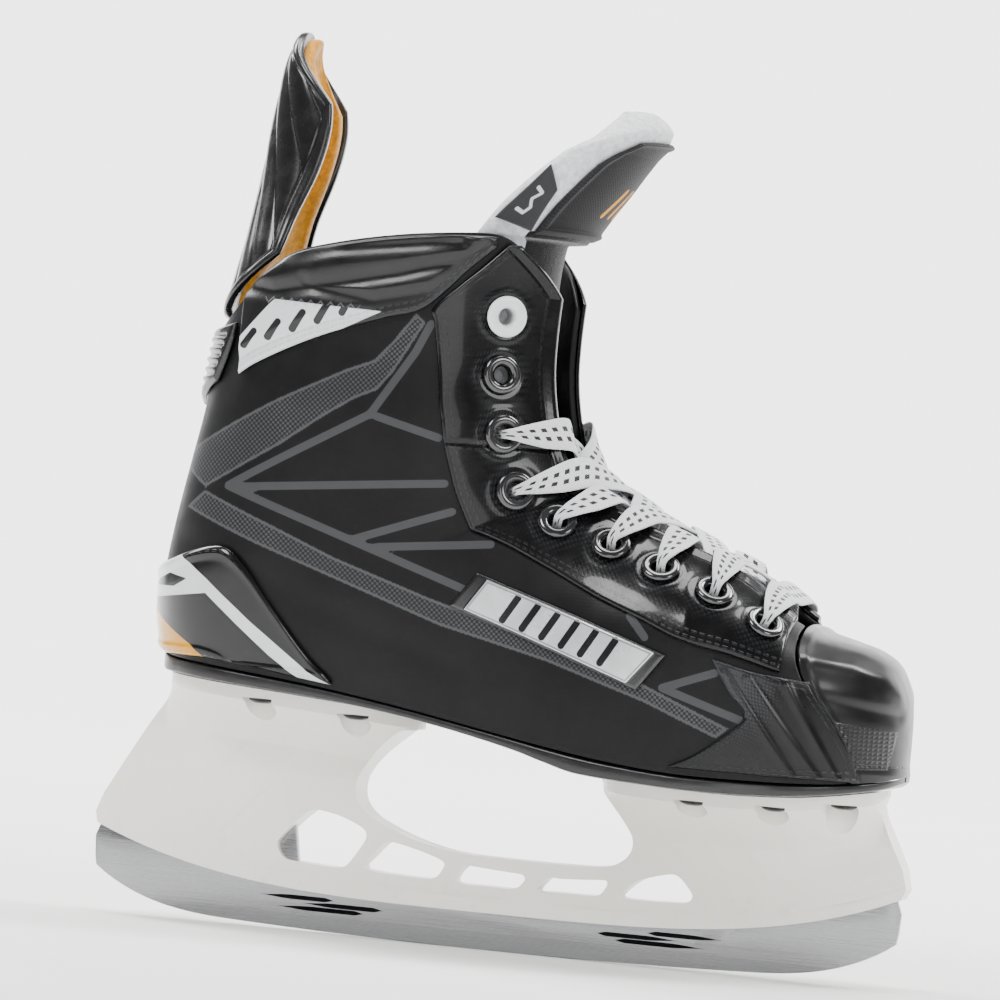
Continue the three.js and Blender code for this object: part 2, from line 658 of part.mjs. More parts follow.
function insoleBoard() {
  const half = (x) => innerHalf(x, GAP, WALL + 5 * GAP);
  return cut(soleSlab(-98, 123, half, boardLow, boardHigh, 18), rivetHoles(RIVET_SHANK + GAP));
}

function footbed() {
  const inset = WALL + LINING + 2 * SEAT + 3 * GAP;
  const half = (x) => innerHalf(x, BOARD, inset);
  const low = (x) => boardHigh(x) + 2;
  const high = (x) => low(x) + FOOTBED + 2.5 * Math.exp(-Math.pow((x + 25) / 28, 2));
  return soleSlab(-102, 116, half, low, high, 16);
}

// ---------------------------------------------------------------- runner and holder
const railLow = (x) => 11.8 + 17 * Math.pow(Math.abs(x) / RUNNER_HALF_LENGTH, 3.4);
const keel = (x) => {
  const flat = x * x / (2 * ROCKER_RADIUS);
  const past = Math.max(0, Math.abs(x) - 0.615 * RUNNER_HALF_LENGTH) / (0.385 * RUNNER_HALF_LENGTH);
  return flat + 11.4 * Math.pow(past, 3);
};

const END_LIFT = [[-1, 14.6], [-0.4, 18], [0, 24]];
function runnerOutline(grow) {
  const end = RUNNER_HALF_LENGTH;
  const below = [];
  const xs = range(12).map((i) => -end + 4 + i * (end - 4 - CONTACT_HALF) / 11);
  for (const x of xs) below.push([x, keel(x) - keel(CONTACT_HALF)]);
  for (const x of xs.slice().reverse()) below.push([-x, keel(x) - keel(CONTACT_HALF)]);
  const front = END_LIFT.map(([inset, z]) => [end + inset, z]);
  const rear = END_LIFT.map(([inset, z]) => [-end - inset, z]).reverse();
  const above = [];
  const tops = range(27).map((i) => end * (1 - i / 13) * 0.97);
  for (const x of tops) above.push([x, railLow(x) + SLOT_DEPTH + grow]);
  return [...below, ...front, ...above, ...rear];
}

function lugPlate(x, grow, thickness) {
  const half = LUG_HALF_LENGTH + grow;
  return sidePlate([[x - half, 16], [x + half, 16], [x + half - 3, LUG_HEIGHT + grow],
    [x - half + 3, LUG_HEIGHT + grow]], thickness);
}

function runner() {
  const base = solidOf(sidePlate(runnerOutline(0), RUNNER_THICKNESS));
  return geometryOf(BOLT_SPOTS.reduce((solid, [, x]) =>
    solid.add(solidOf(lugPlate(x, 0, RUNNER_THICKNESS))), base));
}

function flangeHalf(x, flange) {
  const middle = (flange.from + flange.to) / 2;
  const reach = (flange.to - flange.from) / 2;
  const t = clamp(Math.abs(x - middle) / reach, 0, 1);
  return Math.max(3, flange.half * Math.pow(1 - Math.pow(t, 3.2), 0.5));
}

const holderTop = (x) => outsoleLow(x) - GAP;
function holderHalf(x, z) {
  const flange = x < 0 ? REAR_FLANGE : FRONT_FLANGE;
  const depth = holderTop(x) - z;
  const tower = mix(RAIL_HALF, TOWER_HALF, clamp((z - 16) / 34, 0, 1));
  const rim = flangeHalf(x, flange);
  if (depth <= FLANGE_EDGE) return rim;
  const slope = clamp((depth - FLANGE_EDGE) / FLANGE_SLOPE, 0, 1);
  return mix(rim, tower, Math.pow(slope, 0.55));
}

const ARCH = [
  [-26, 73.5], [-27.2, 67.4], [-31.5, 66.4], [-39.5, 58.7], [-44.5, 51], [-45, 46], [-43.5, 42], [-39.5, 38.4],
  [-29.5, 34], [-19.5, 31.2], [-9.5, 29.7], [10.5, 29.3], [30.5, 29.6], [37.5, 30.4], [41.5, 32.4], [44, 35.4],
  [44.5, 39], [43, 43], [40.5, 47], [37.5, 50.8], [34.5, 54], [32.4, 57], [32, 61], [-10, 80],
];
const WINDOWS = [
  [[-69.3, 28.2], [-69, 25.2], [-67, 22.8], [-64, 22.1], [-50, 21.4], [-46.6, 22.6], [-41.3, 30.6], [-41, 33.2],
    [-43, 35.2], [-50, 37.9], [-56.5, 39], [-59.5, 38.7], [-63.5, 35]],
  [[-41.5, 22.9], [-40.4, 21.6], [-30, 20.9], [-20, 20.8], [-17.2, 22], [-15.2, 25.6], [-16.6, 27.2],
  [-24.5, 29.6],
    [-32.5, 31.2], [-35, 30.6], [-39.5, 25.4]],
  [[-11.5, 20.6], [-1.5, 20.2], [6.5, 20.2], [9, 21.1], [10.8, 23.4], [10, 25], [2.5, 25.5], [-6.5, 26.1],
    [-9, 25.8]],
  [[15, 20.6], [18.5, 20.4], [33.5, 20.6], [35.5, 21.6], [37.2, 24.4], [36.7, 25.8], [32.5, 25.6], [22.5, 24.9],
    [18.5, 24.8]],
  [[41.5, 21.6], [42.5, 20.8], [50.5, 20.7], [61.5, 21.2], [63.9, 22.1], [64.4, 24.1], [60.5, 28.8],
    [57.5, 29.8], [50.5, 28.1], [46.5, 26.4]],
];
// outside the holder's slanted ends, which run from the flanges down to the ends of the rail
const END = RUNNER_HALF_LENGTH;
const REAR_CUT = [
  [-107.6, 73.2], [-109.6, 68.4], [-END + 10.5, 51], [-END + 3, 38], [-END + 0.6, 32], [-END + 1.4, 27],
  [-END - 10, 27], [-END - 10, 80], [-110, 80], [-108.6, 75.6],
];
const FRONT_CUT = [
  [122.8, 60.4], [120.5, 57.2], [END - 4.5, 47], [END, 38.4], [END + 1.6, 32], [END - 0.6, 27],
  [END + 15, 27], [END + 15, 72], [123.5, 72],
];

function holder() {
  const xs = steps(26).map((t) => mix(-RUNNER_HALF_LENGTH - 0.4, RUNNER_HALF_LENGTH + 1.6, t));
  const levels = [0, 0.2, 0.45, 0.66, 0.76, 0.85, 0.92, 1];
  const rings = xs.map((x) => {
    const low = railLow(x);
    const top = holderTop(clamp(x, REAR_FLANGE.from, FRONT_FLANGE.to));
    const side = levels.map((g) => {
      const z = mix(low, top, g);
      return [holderHalf(clamp(x, REAR_FLANGE.from, FRONT_FLANGE.to), z), z];
    });
    const near = side.map(([half, z]) => new THREE.Vector3(x, -half, z));
    const far = side.map(([half, z]) => new THREE.Vector3(x, half, z)).reverse();
    return [...near, ...far];
  });
  const through = 120;
  const slot = RUNNER_THICKNESS + 2 * GAP;
  const cutters = [
    ...[ARCH, REAR_CUT, FRONT_CUT, ...WINDOWS].map((outline) => sidePlate(outline, through)),
    sidePlate(runnerOutline(GAP), slot),
    ...BOLT_SPOTS.map(([, x]) => lugPlate(x, GAP, slot)),
    ...BOLT_SPOTS.map(([, x]) => post(x, 0, LUG_HEIGHT + GAP - 1, 90, BOLT_RADIUS + GAP)),
    ...BOLT_SPOTS.map(([, x]) => post(x, 0, nutSeat(x) - GAP, 90, NUT_RADIUS + GAP, 6)),
    ...rivetHoles(RIVET_SHANK + GAP),
    ...rivetSpots.map(({ x, y }) => post(x, y, 20, rivetSeat(x), RIVET_HEAD + GAP, 8)),
  ];
  return cut(loft(rings), cutters);
}

const rivetSeat = (x) => holderTop(x) - 2.9;
const nutSeat = (x) => holderTop(x) - NUT_HEIGHT - 1.2;

function rivet({ x, y }) {
  const seat = rivetSeat(x) - GAP;
  const top = Math.max(boardHigh(x - 3), boardHigh(x + 3)) + GAP;
  const profile = [
    [0, seat - RIVET_HEAD_HEIGHT], [RIVET_HEAD * 0.7, seat - RIVET_HEAD_HEIGHT], [RIVET_HEAD, seat],
    [RIVET_SHANK, seat], [RIVET_SHANK, top], [RIVET_SHANK + 0.9, top + 0.1], [0, top + 0.8],
  ].map(([r, h]) => new THREE.Vector2(r, h));
  return new THREE.LatheGeometry(profile, 6).rotateX(Math.PI / 2).translate(x, y, 0);
}

function bladeBolt(x) {
  return post(x, 0, LUG_HEIGHT + GAP, nutSeat(x) + NUT_HEIGHT + 0.6, BOLT_RADIUS, 10);
}

function bladeNut(x) {
  const blank = post(x, 0, nutSeat(x), nutSeat(x) + NUT_HEIGHT, NUT_RADIUS, 6);
  return cut(blank, [post(x, 0, 0, 100, BOLT_RADIUS + GAP, 10)]);
}

// ---------------------------------------------------------------- tongue
function tongueLower() {
  const rows = steps(16).map((t) => mix(0.6, 2 + (TONGUE_SPLIT - 3.5 - PIVOT_Z) / RISE, t));
  const columns = range(9).map((j) => -1 + j / 4);
  const grid = (height) => rows.map((s) => columns.map((c) => {
    const side = c < 0 ? -1 : 1;
    const reach = mix(0.5, 0.7, clamp((s - 0.6) / 1.2, 0, 1));
    const point = bootPoint(s, Math.max(Math.abs(c) * reach, 0.004), side)
      .addScaledVector(bootNormal(s, Math.max(Math.abs(c) * reach, 0.012), side), height);
    if (c === 0) point.y = 0;
    return point;
  }));
  return plate(grid(-TONGUE_DEPTH), grid(-TONGUE_DEPTH - TONGUE_THICKNESS));
}

// level section of the free part of the tongue: how far forward, how wide, how far it wraps back
const tongueFrontX = curveOf([[224, 11.5], [232, 16.5], [240, 22], [247, 26.5], [253, 30.5], [258, 33.5]]);
const tongueReach = curveOf([[224, 83], [238, 80], [250, 70], [260, 56], [270, 34]]);
const TONGUE_A = 33;
const TONGUE_B = 31;
const LIP = 11;                     // thickness of the felt at the lip

function tongueRow(t) {
  const top = 269;
  const z = mix(TONGUE_SPLIT, top, t);
  const curl = clamp((z - 252) / (top - 252), 0, 1);
  const thick = mix(TONGUE_THICKNESS + 1.5, LIP, clamp((z - 228) / 22, 0, 1));
  return { z, curl, thick };
}

function tongueGrid(outerFace, from, to, count, span, shift) {
  const columns = range(11).map((j) => -1 + j / 5);
  return steps(count).map((u) => columns.map((c) => {
    const { z, curl, thick } = tongueRow(mix(from, to, u));
    const reach = tongueReach(z) * span * c;
    const front = tongueFrontX(Math.min(z, 258)) + 3.4 * curl;
    const inward = outerFace ? -shift : thick;
    const a = TONGUE_A - inward;
    const b = TONGUE_B - inward;
    const x = front - TONGUE_A + a * Math.cos(toRad(reach));
    const lift = -4 * Math.pow(Math.sin(toRad(reach)), 2) * curl;
    const drop = outerFace ? -7 * curl * curl : 0;
    return new THREE.Vector3(x, b * Math.sin(toRad(reach)), z + lift + drop);
  }));
}

function tongueUpper() {
  return plate(tongueGrid(true, 0, 1, 8, 1, 0), tongueGrid(false, 0, 1, 8, 1, 0));
}

function tongueFace() {
  const [from, to, span] = [0.02, 0.76, 0.64];
  const outer = tongueGrid(true, from, to, 6, span, SEAT + TONGUE_FACE);
  const inner = tongueGrid(true, from, to, 6, span, SEAT);
  return plate(outer, inner);
}

function tongueTag() {
  const grid = (shift) => steps(3).map((u) => steps(3).map((w) => {
    const z = mix(mix(229, 225.6, w), mix(247, 239, w), u);
    const angle = mix(mix(-79, -71.5, u), mix(-55, -58, u), w);
    const front = tongueFrontX(z);
    const a = TONGUE_A + shift;
    const b = TONGUE_B + shift;
    return new THREE.Vector3(front - TONGUE_A + a * Math.cos(toRad(angle)), b * Math.sin(toRad(angle)), z);
  }));
  return plate(grid(SEAT + 0.9), grid(SEAT));
}

// ---------------------------------------------------------------- tendon guard
const guardBack = curveOf([[190, -102.8], [200, -100.6], [213, -98.4], [228, -96], [240, -94.6], [252, -93.3],
  [265, -91.6], [276, -89.4], [284, -85.5]]);
const guardDepthTable = curveOf([[190, 12], [200, 13.5], [212, 16], [225, 17.5], [240, 21], [252, 22],
  [262, 20],
  [272, 15], [284, 7]]);
const guardHalf = curveOf([[190, 30], [212, 28], [225, 24.5], [240, 22], [255, 21], [270, 19], [284, 15]]);
const GUARD_LEAD = 2;               // the outer flank reaches further forward by twice this

function guardGrid(inset, trim) {
  const columns = range(11).map((j) => -1 + j / 5);
  return steps(9).map((m) => columns.map((k) => {
    const flank = Math.abs(k);
    const low = 191 + 21 * Math.pow(flank, 1.6) + trim;
    const high = 283.8 - 23 * Math.pow(flank, 2.4) - trim;
    const z = mix(low, high, m);
    const depth = guardDepthTable(z) - GUARD_LEAD * k - inset;
    const turn = k * Math.PI / 2 * (1 - trim / 40);
    return new THREE.Vector3(guardBack(z) + inset + depth * (1 - Math.cos(turn)),
      (guardHalf(z) - inset) * Math.sin(turn), z);
  }));
}

function tendonGuard() {
  return plate(guardGrid(0, 0), guardGrid(GUARD_SHELL, 0));
}

function guardLining() {
  return plate(guardGrid(GUARD_SHELL + 2 * SEAT, 2), guardGrid(GUARD_SHELL + 2 * SEAT + GUARD_FELT, 2));
}

const baseFront = curveOf([[163, -100], [175, -95], [183, -92.5], [189, -91.2]]);
function guardBase() {
  const columns = range(13).map((j) => -1 + j / 6);
  const grid = (height) => steps(4).map((m) => columns.map((k) => {
    const high = 187 + 2.6 * Math.pow(Math.abs(k), 2);
    const low = 163 + 8 * Math.abs(k);
    const z = mix(low, high, m);
    return wrapRow(z, [k], baseFront, height)[0];
  }));
  return plate(grid(SEAT + LAYER + 0.6), grid(SEAT));
}

// ---------------------------------------------------------------- lace
const LACE_HALF = LACE_THICKNESS / 2;
const LACE_OVER = EYELET_OVER + 1.2 + GAP + LACE_HALF;         // clear of an eyelet's rim
const LACE_UNDER = EYELET_UNDER - 1 - GAP - LACE_HALF;         // clear of an eyelet's washer
const LACE_EDGE = SEAT + LAYER + GAP + LACE_HALF;              // on the facing's edge
const BORE_WIDTH = 2.8;                                        // the lace bunched in an eyelet

/** A lace point over the gap: u is the distance from the middle, signed like y. */
function gapPoint(s, u, height) {
  const side = u < 0 ? -1 : 1;
  const v = Math.max(girthAtWidth(s, Math.abs(u)), 0.004);
  const point = bootPoint(s, v, side).addScaledVector(bootNormal(s, Math.max(v, 0.012), side), height);
  if (u === 0) point.y = 0;
  return point;
}

function eyeletPoint(place, side, share, height) {
  const v = mix(place.v, edgeGirth(place.s), share);
  return bootPoint(place.s, v, side).addScaledVector(bootNormal(place.s, v, side), height);
}

/** Points from an eyelet's bore, under the facing, up through the gap and down into the eyelet opposite. */
function strand(below, above, side, over) {
  const lift = over ? [0.6, 1.6, 3] : [-2, -1.4, -0.8];
  const at = (u) => mix(below.s, above.s, (1 - u * side / FACING_HALF_GAP) / 2);
  const thin = BORE_WIDTH;
  const wide = LACE_WIDTH;
  return [
    [eyeletPoint(below, side, 0, LACE_UNDER + 1.2), thin],
    [eyeletPoint(below, side, 0.14, LACE_UNDER - 0.3), thin],
    [eyeletPoint(below, side, 0.6, LACE_UNDER), wide * 0.8],
    [gapPoint(below.s, side * (FACING_HALF_GAP - 1), LACE_UNDER + 1), wide],
    [gapPoint(at(side * 10), side * 10, lift[0]), wide],
    [gapPoint(at(0), 0, lift[1]), wide],
    [gapPoint(at(-side * 10), -side * 10, lift[2]), wide],
    [gapPoint(above.s, -side * (FACING_HALF_GAP - 1), LACE_EDGE + 1), wide],
    [eyeletPoint(above, -side, 0.55, LACE_OVER + above.rise + 0.4), wide * 0.8],
    [eyeletPoint(above, -side, 0.2, LACE_OVER + above.rise + 0.9), wide * 0.45],
    [eyeletPoint(above, -side, 0.03, LACE_OVER + above.rise + 0.3), thin],
    [eyeletPoint(above, -side, 0, 1), thin],
  ];
}

/** One half of the lace, from the lowest bar to its end tucked in beside the tongue. */
function laceHalf(start) {
  const last = EYELET_COUNT - 1;
  const points = [];
  let side = start;
  for (let row = last; row > LACED_FROM; row -= 1) {
    const over = start > 0;
    points.push(...strand(eyeletSites[side][row], eyeletSites[-side][row - 1], side, over));
    side = -side;
  }
  const end = eyeletSites[side][LACED_FROM];
  points.push([eyeletPoint(end, side, 0, LACE_UNDER + 1.2), BORE_WIDTH]);
  points.push([eyeletPoint(end, side, 0.14, LACE_UNDER - 0.5), BORE_WIDTH]);
  for (const s of [end.s + 0.1, end.s + 0.22, end.s + 0.34]) {
    points.push([eyeletPoint({ s, v: end.v }, side, 0.45, LACE_UNDER - 0.4), LACE_WIDTH * 0.57]);
  }
  return points;
}

function laceRoute() {
  const last = EYELET_COUNT - 1;
  const [left, right] = [eyeletSites[-1][last], eyeletSites[1][last]];
  const halfBar = (place, side) => [
    [eyeletPoint(place, side, 0, 1), BORE_WIDTH],
    [eyeletPoint(place, side, 0.03, LACE_OVER + place.rise), BORE_WIDTH],
    [eyeletPoint(place, side, 0.2, LACE_OVER + place.rise + 0.7), LACE_WIDTH * 0.5],
    [eyeletPoint(place, side, 0.55, LACE_OVER + place.rise + 0.4), LACE_WIDTH * 0.8],
    [gapPoint(place.s, side * (FACING_HALF_GAP - 1), LACE_EDGE + 1), LACE_WIDTH],
  ];
  const middle = [gapPoint(left.s, 0, 2), LACE_WIDTH];
  const bar = [...halfBar(left, -1), middle, ...halfBar(right, 1).reverse()];
  return [...laceHalf(-1).reverse(), ...bar, ...laceHalf(1)];
}

/** Flat band along the route; its width lies along the boot. */
function lace() {
  const route = laceRoute();
  const path = new THREE.CatmullRomCurve3(route.map(([point]) => point), false, 'centripetal');
  const count = route.length - 1;
  const rings = range(count + 1).map((i) => {
    const t = i / count;
    const centre = path.getPoint(t);
    const tangent = path.getTangent(t);
    const place = t * (route.length - 1);
    const k = Math.min(route.length - 2, Math.floor(place));
    const half = mix(route[k][1], route[k + 1][1], place - k) / 2;
    const s = locate(centre.x, centre.z)[0];
    const v = girthAtWidth(s, Math.min(Math.abs(centre.y), halfWidthOf(s) * 0.98));
    const side = centre.y < 0 ? -1 : 1;
    const across = bootPoint(s + 0.01, v, side).sub(bootPoint(s - 0.01, v, side));
    across.addScaledVector(tangent, -across.dot(tangent)).normalize();
    const up = across.clone().cross(tangent).normalize();
    const corner = (a, b) => centre.clone().addScaledVector(across, a * half)
      .addScaledVector(up, b * LACE_HALF);
    return [corner(-1, -1), corner(1, -1), corner(1, 1), corner(-1, 1)];
  });
  return loft(rings);
}

// ---------------------------------------------------------------- assembly
add('runner', runner(), finish(STEEL, 0.25, 1));
add('blade_holder', holder(), finish(HOLDER_WHITE, 0.42));
add('outsole', outsole(), finish(BLACK_SATIN, 0.5));
add('insole_board', insoleBoard(), finish(LINER_GREY, 0.7));
add('footbed', footbed(), finish(LINER_GREY, 0.85));
for (const spot of rivetSpots) add(spot.name, rivet(spot), finish(DARK_STEEL, 0.4, 1));
for (const [name, x] of BOLT_SPOTS) {
  add(`${name}_blade_bolt`, bladeBolt(x), finish(STEEL, 0.35, 1));
  add(`${name}_blade_nut`, bladeNut(x), finish(STEEL, 0.35, 1));
}
add('toe_cap', toeCap(), finish(BLACK_SATIN, 0.4));
for (const [name, side] of SIDES) {
  add(`quarter_${name}`, quarter(side), finish(BLACK_SATIN, 0.45));
  add(`vamp_strap_${name}`, vampStrap(side), finish(BLACK_SATIN, 0.5));
  add(`facing_${name}`, facing(side), finish(BLACK_GLOSS, 0.3));
  add(`collar_${name}`, collar(side), finish(BLACK_GLOSS, 0.4));
  add(`badge_${name}`, sideBadge(side), finish(SILVER, 0.25, 0.4));
  add(`ankle_lining_${name}`, ankleLining(side), finish(LINER_GREY, 0.95));
  eyeletSites[side].forEach((place, i) => {
    add(`${name}_eyelet_${i + 1}`, eyelet(place), finish(i === 0 ? FELT_WHITE : BLACK_GLOSS, 0.35));
  });
}
add('lace', lace(), finish(FELT_WHITE, 0.9));
add('heel_counter', heelCounter(), finish(BLACK_GLOSS, 0.25));
add('tendon_guard_base', guardBase(), finish(BLACK_GLOSS, 0.35));
add('tendon_guard', tendonGuard(), finish(BLACK_GLOSS, 0.35));
add('tendon_guard_lining', guardLining(), finish(GOLD_FELT, 0.95));
add('tongue_lower', tongueLower(), finish(FELT_WHITE, 0.95));
add('tongue_upper', tongueUpper(), finish(FELT_WHITE, 0.95));
add('tongue_face', tongueFace(), finish(BLACK_SATIN, 0.6));
add('tongue_tag', tongueTag(), finish(BLACK_SATIN, 0.8));

export default group;
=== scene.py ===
"""Looks of the ice hockey skate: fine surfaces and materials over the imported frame, in metres."""
import math
from itertools import product
import bpy
import numpy as np
from mathutils import Matrix, Vector


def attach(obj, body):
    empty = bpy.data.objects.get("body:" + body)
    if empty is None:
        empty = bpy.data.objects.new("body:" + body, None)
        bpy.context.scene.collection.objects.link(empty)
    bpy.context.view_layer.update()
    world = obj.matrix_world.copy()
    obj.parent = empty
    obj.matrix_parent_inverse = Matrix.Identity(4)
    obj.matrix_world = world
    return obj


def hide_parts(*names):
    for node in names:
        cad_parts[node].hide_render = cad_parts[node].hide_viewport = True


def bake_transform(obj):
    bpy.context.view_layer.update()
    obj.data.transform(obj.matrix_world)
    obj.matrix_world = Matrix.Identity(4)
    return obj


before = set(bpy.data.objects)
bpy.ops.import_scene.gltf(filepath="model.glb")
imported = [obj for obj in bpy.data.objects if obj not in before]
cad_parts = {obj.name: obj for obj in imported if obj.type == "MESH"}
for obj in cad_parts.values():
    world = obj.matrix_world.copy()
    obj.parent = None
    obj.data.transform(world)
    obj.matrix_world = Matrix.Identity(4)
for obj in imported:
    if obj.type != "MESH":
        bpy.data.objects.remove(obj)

bl_info = {
    "name": "Ice hockey skate",
    "version": (1, 0, 0),
    "blender": (4, 5, 0),
    "location": "View3D > Sidebar > Skate",
    "description": "Builds the looks of a laced ice hockey skate",
    "category": "Object",
}

MM = 0.001
SIDES = (("lateral", -1), ("medial", 1))

# sizes shared with the frame, in millimetres
GAP, SEAT, LAYER, WALL, LINING, CAP_WALL = 0.3, 0.6, 1.5, 2.2, 3.4, 2.4
BALL_HALF_WIDTH, WAIST_HALF_WIDTH, ANKLE_HALF_WIDTH, COLLAR_HALF_WIDTH = 46, 37.5, 39.5, 40
TOE_X, FACING_HALF_GAP, BACK_DEPTH = 128, 17, 42
RUNNER_HALF_LENGTH, RUNNER_THICKNESS, ROCKER_RADIUS = 130, 3, 2200
PIVOT_X, PIVOT_Z, RISE = 62, 165, 60
FOREFOOT = TOE_X - PIVOT_X
EYELET_COUNT, EYELET_PITCH, EYELET_BORE, EYELET_BARREL, EYELET_RIM = 9, 18.4, 2.7, 3.7, 6.1
EYELET_UNDER, EYELET_OVER, EYELET_SHARE = -(WALL + 1.6), SEAT + LAYER + GAP, 0.165
BOARD = 2.4
TONGUE_DEPTH, TONGUE_THICKNESS, TONGUE_SPLIT = 9.3, 6.5, 224
GUARD_SHELL, GUARD_FELT, GUARD_LEAD = 2.8, 4.5, 2
RIVET_SPOTS = ((-75, 20), (-44.5, 19), (65.5, 24.5), (91, 23.5), (111.5, 17))
RIVET_SHANK, RIVET_HEAD, RIVET_HEAD_HEIGHT = 2, 4.2, 1.5


# ---------------------------------------------------------------- small maths
def curve_of(*pairs):
    """Smooth function through (x, y) pairs: on each span the cubic Hermite polynomial whose end slopes are
    those of the chord between the two neighbouring pairs; constant beyond both ends."""
    xs, ys = np.array(pairs, float).T
    before, after = np.maximum(np.arange(len(xs)) - 1, 0), np.minimum(np.arange(len(xs)) + 1, len(xs) - 1)
    slope = (ys[after] - ys[before]) / (xs[after] - xs[before])

    def at(x):
        x = np.clip(np.asarray(x, float), xs[0], xs[-1])
        i = np.clip(np.searchsorted(xs, x, side="right") - 1, 0, len(xs) - 2)
        width = xs[i + 1] - xs[i]
        t = (x - xs[i]) / width
        return ((2 * t**3 - 3 * t**2 + 1) * ys[i] + (t**3 - 2 * t**2 + t) * width * slope[i]
                + (3 * t**2 - 2 * t**3) * ys[i + 1] + (t**3 - t**2) * width * slope[i + 1])
    return at


def spline(points, count):
    """Uniform Catmull-Rom curve through points, p(t) with end points doubled, at count + 1 even parameters."""
    pts = np.array(points, float)
    place = np.linspace(0, len(pts) - 1, count + 1)
    i = np.minimum(place.astype(int), len(pts) - 2)
    t = (place - i)[:, None]
    p0, p1, p2, p3 = (pts[np.clip(i + k, 0, len(pts) - 1)] for k in (-1, 0, 1, 2))
    m1, m2 = (p2 - p0) / 2, (p3 - p1) / 2
    return ((2 * p1 - 2 * p2 + m1 + m2) * t**3 + (-3 * p1 + 3 * p2 - 2 * m1 - m2) * t**2 + m1 * t + p1)


def smooth(low, high, x):
    """Smoothstep: 0 below low, 1 above high and 3t^2 - 2t^3 between."""
    t = np.clip((np.asarray(x, float) - low) / (high - low), 0, 1)
    return t * t * (3 - 2 * t)


def mix(a, b, t):
    return a + (b - a) * t


def bell(x, width):
    """exp(-(x / width)^2)."""
    return np.exp(-(x / width) ** 2)


def crowded(count, power=0.55):
    """count + 1 values from 0 to 1, closer together near both ends: t blended with (1 - cos(pi t)) / 2."""
    t = np.linspace(0, 1, count + 1)
    return mix(t, (1 - np.cos(math.pi * t)) / 2, power)


def segment_distance(x, z, a, b):
    """Distance from points (x, z) to the segment from a to b: |p - a - clamp(h) (b - a)|."""
    ax, az = a
    dx, dz = b[0] - ax, b[1] - az
    h = np.clip(((x - ax) * dx + (z - az) * dz) / (dx * dx + dz * dz), 0, 1)
    return np.hypot(x - ax - h * dx, z - az - h * dz)


def outline_distance(x, z, outline):
    """Signed distance to a closed polygon, negative inside: the least segment distance, with the sign
    from counting how many edges a ray along +x crosses."""
    best = np.full(np.shape(x), 1e9)
    inside = np.zeros(np.shape(x), bool)
    for (ax, az), (bx, bz) in zip(outline, outline[1:] + outline[:1]):
        best = np.minimum(best, segment_distance(x, z, (ax, az), (bx, bz)))
        crosses = (az > z) != (bz > z)
        inside ^= crosses & (x < (bx - ax) * (z - az) / (bz - az + 1e-12) + ax)
    return np.where(inside, -best, best)


def line_distance(x, z, *points):
    """Least distance to an open chain of segments."""
    return np.min([segment_distance(x, z, a, b) for a, b in zip(points, points[1:])], axis=0)


def slanted_bars(x, z, count, foot, step, lean, half):
    """Signed distance to a row of bars: each runs from its foot by lean, and the next one's foot is a step on."""
    feet = [np.array(foot) + k * np.array(step) for k in range(count)]
    return np.min([segment_distance(x, z, at, at + lean) for at in feet], axis=0) - half


# ---------------------------------------------------------------- the boot's outer surface
# Cross sections fan out from a pivot line in front of the instep: upright planes across the forefoot,
# turning planes round the instep and level planes up the shaft. s numbers the planes: 0 at the toe,
# 1 at the pivot (upright), 2 at the pivot (level), and one more for each RISE above it.
FRONT_LINE = [
    (128.6, 74), (128, 84), (126.5, 92.5), (122.5, 101), (116, 105.3), (108, 107.6), (99, 110), (91, 114),
    (83, 119.8), (75, 125), (66, 129.5), (58, 133), (50, 137), (42, 141), (35, 144.8), (28, 149.3), (21.5, 155),
    (17, 162), (14.5, 171), (13, 181), (12.5, 191), (12.5, 201), (13, 211), (14.5, 221), (17, 231)]
BACK_LINE = [
    (129, 67.5), (122, 65.3), (105, 63.3), (80, 62.5), (60, 62.6), (40, 64.2), (20, 66.8), (0, 70), (-30, 75),
    (-60, 79.2), (-90, 82.2), (-104, 83.4), (-110.6, 84.6), (-112.6, 90), (-113.7, 97), (-114, 105), (-113.5, 114),
    (-112.2, 124), (-110.2, 136), (-108, 148), (-105.8, 160), (-104.2, 171), (-102.8, 182), (-101, 193),
    (-99, 204), (-97.5, 215), (-96.5, 228)]


def locate(x, z):
    """Section number s and distance r from the pivot line of a point of the side view. The section is
    2 + (z - PIVOT_Z) / RISE above the pivot, (TOE_X - x) / FOREFOOT ahead of it, and turns between."""
    x, z = np.broadcast_arrays(np.asarray(x, float), np.asarray(z, float))
    turn = np.arctan2(PIVOT_X - x, PIVOT_Z - z)
    s = np.where(z >= PIVOT_Z, 2 + (z - PIVOT_Z) / RISE,
                 np.where(x >= PIVOT_X, (TOE_X - x) / FOREFOOT, 1 + turn / (math.pi / 2)))
    r = np.where(z >= PIVOT_Z, PIVOT_X - x, np.where(x >= PIVOT_X, PIVOT_Z - z, np.hypot(PIVOT_X - x, PIVOT_Z - z)))
    return s, r


def side_point(s, r):
    """The inverse of locate."""
    turn = (np.clip(s, 1, 2) - 1) * math.pi / 2
    x = PIVOT_X - r * np.sin(turn) + np.maximum(1 - s, 0) * FOREFOOT
    z = PIVOT_Z - r * np.cos(turn) + np.maximum(s - 2, 0) * RISE
    return x, z


def table(points):
    s, r = locate(*spline(points, 600).T)
    order = np.argsort(s, kind="stable")
    return s[order], r[order]


FRONT_TABLE, BACK_TABLE = table(FRONT_LINE), table(BACK_LINE)
BACK_EDGE = spline([(z, x) for x, z in BACK_LINE[11:]], 200)
SOLE_EDGE = spline(BACK_LINE[:13], 200)[::-1]


def back_x(z):
    """The back outline at height z."""
    return np.interp(z, BACK_EDGE[:, 0], BACK_EDGE[:, 1])


def sole_z(x):
    """The upper's lower edge at x."""
    return np.interp(x, SOLE_EDGE[:, 0], SOLE_EDGE[:, 1])


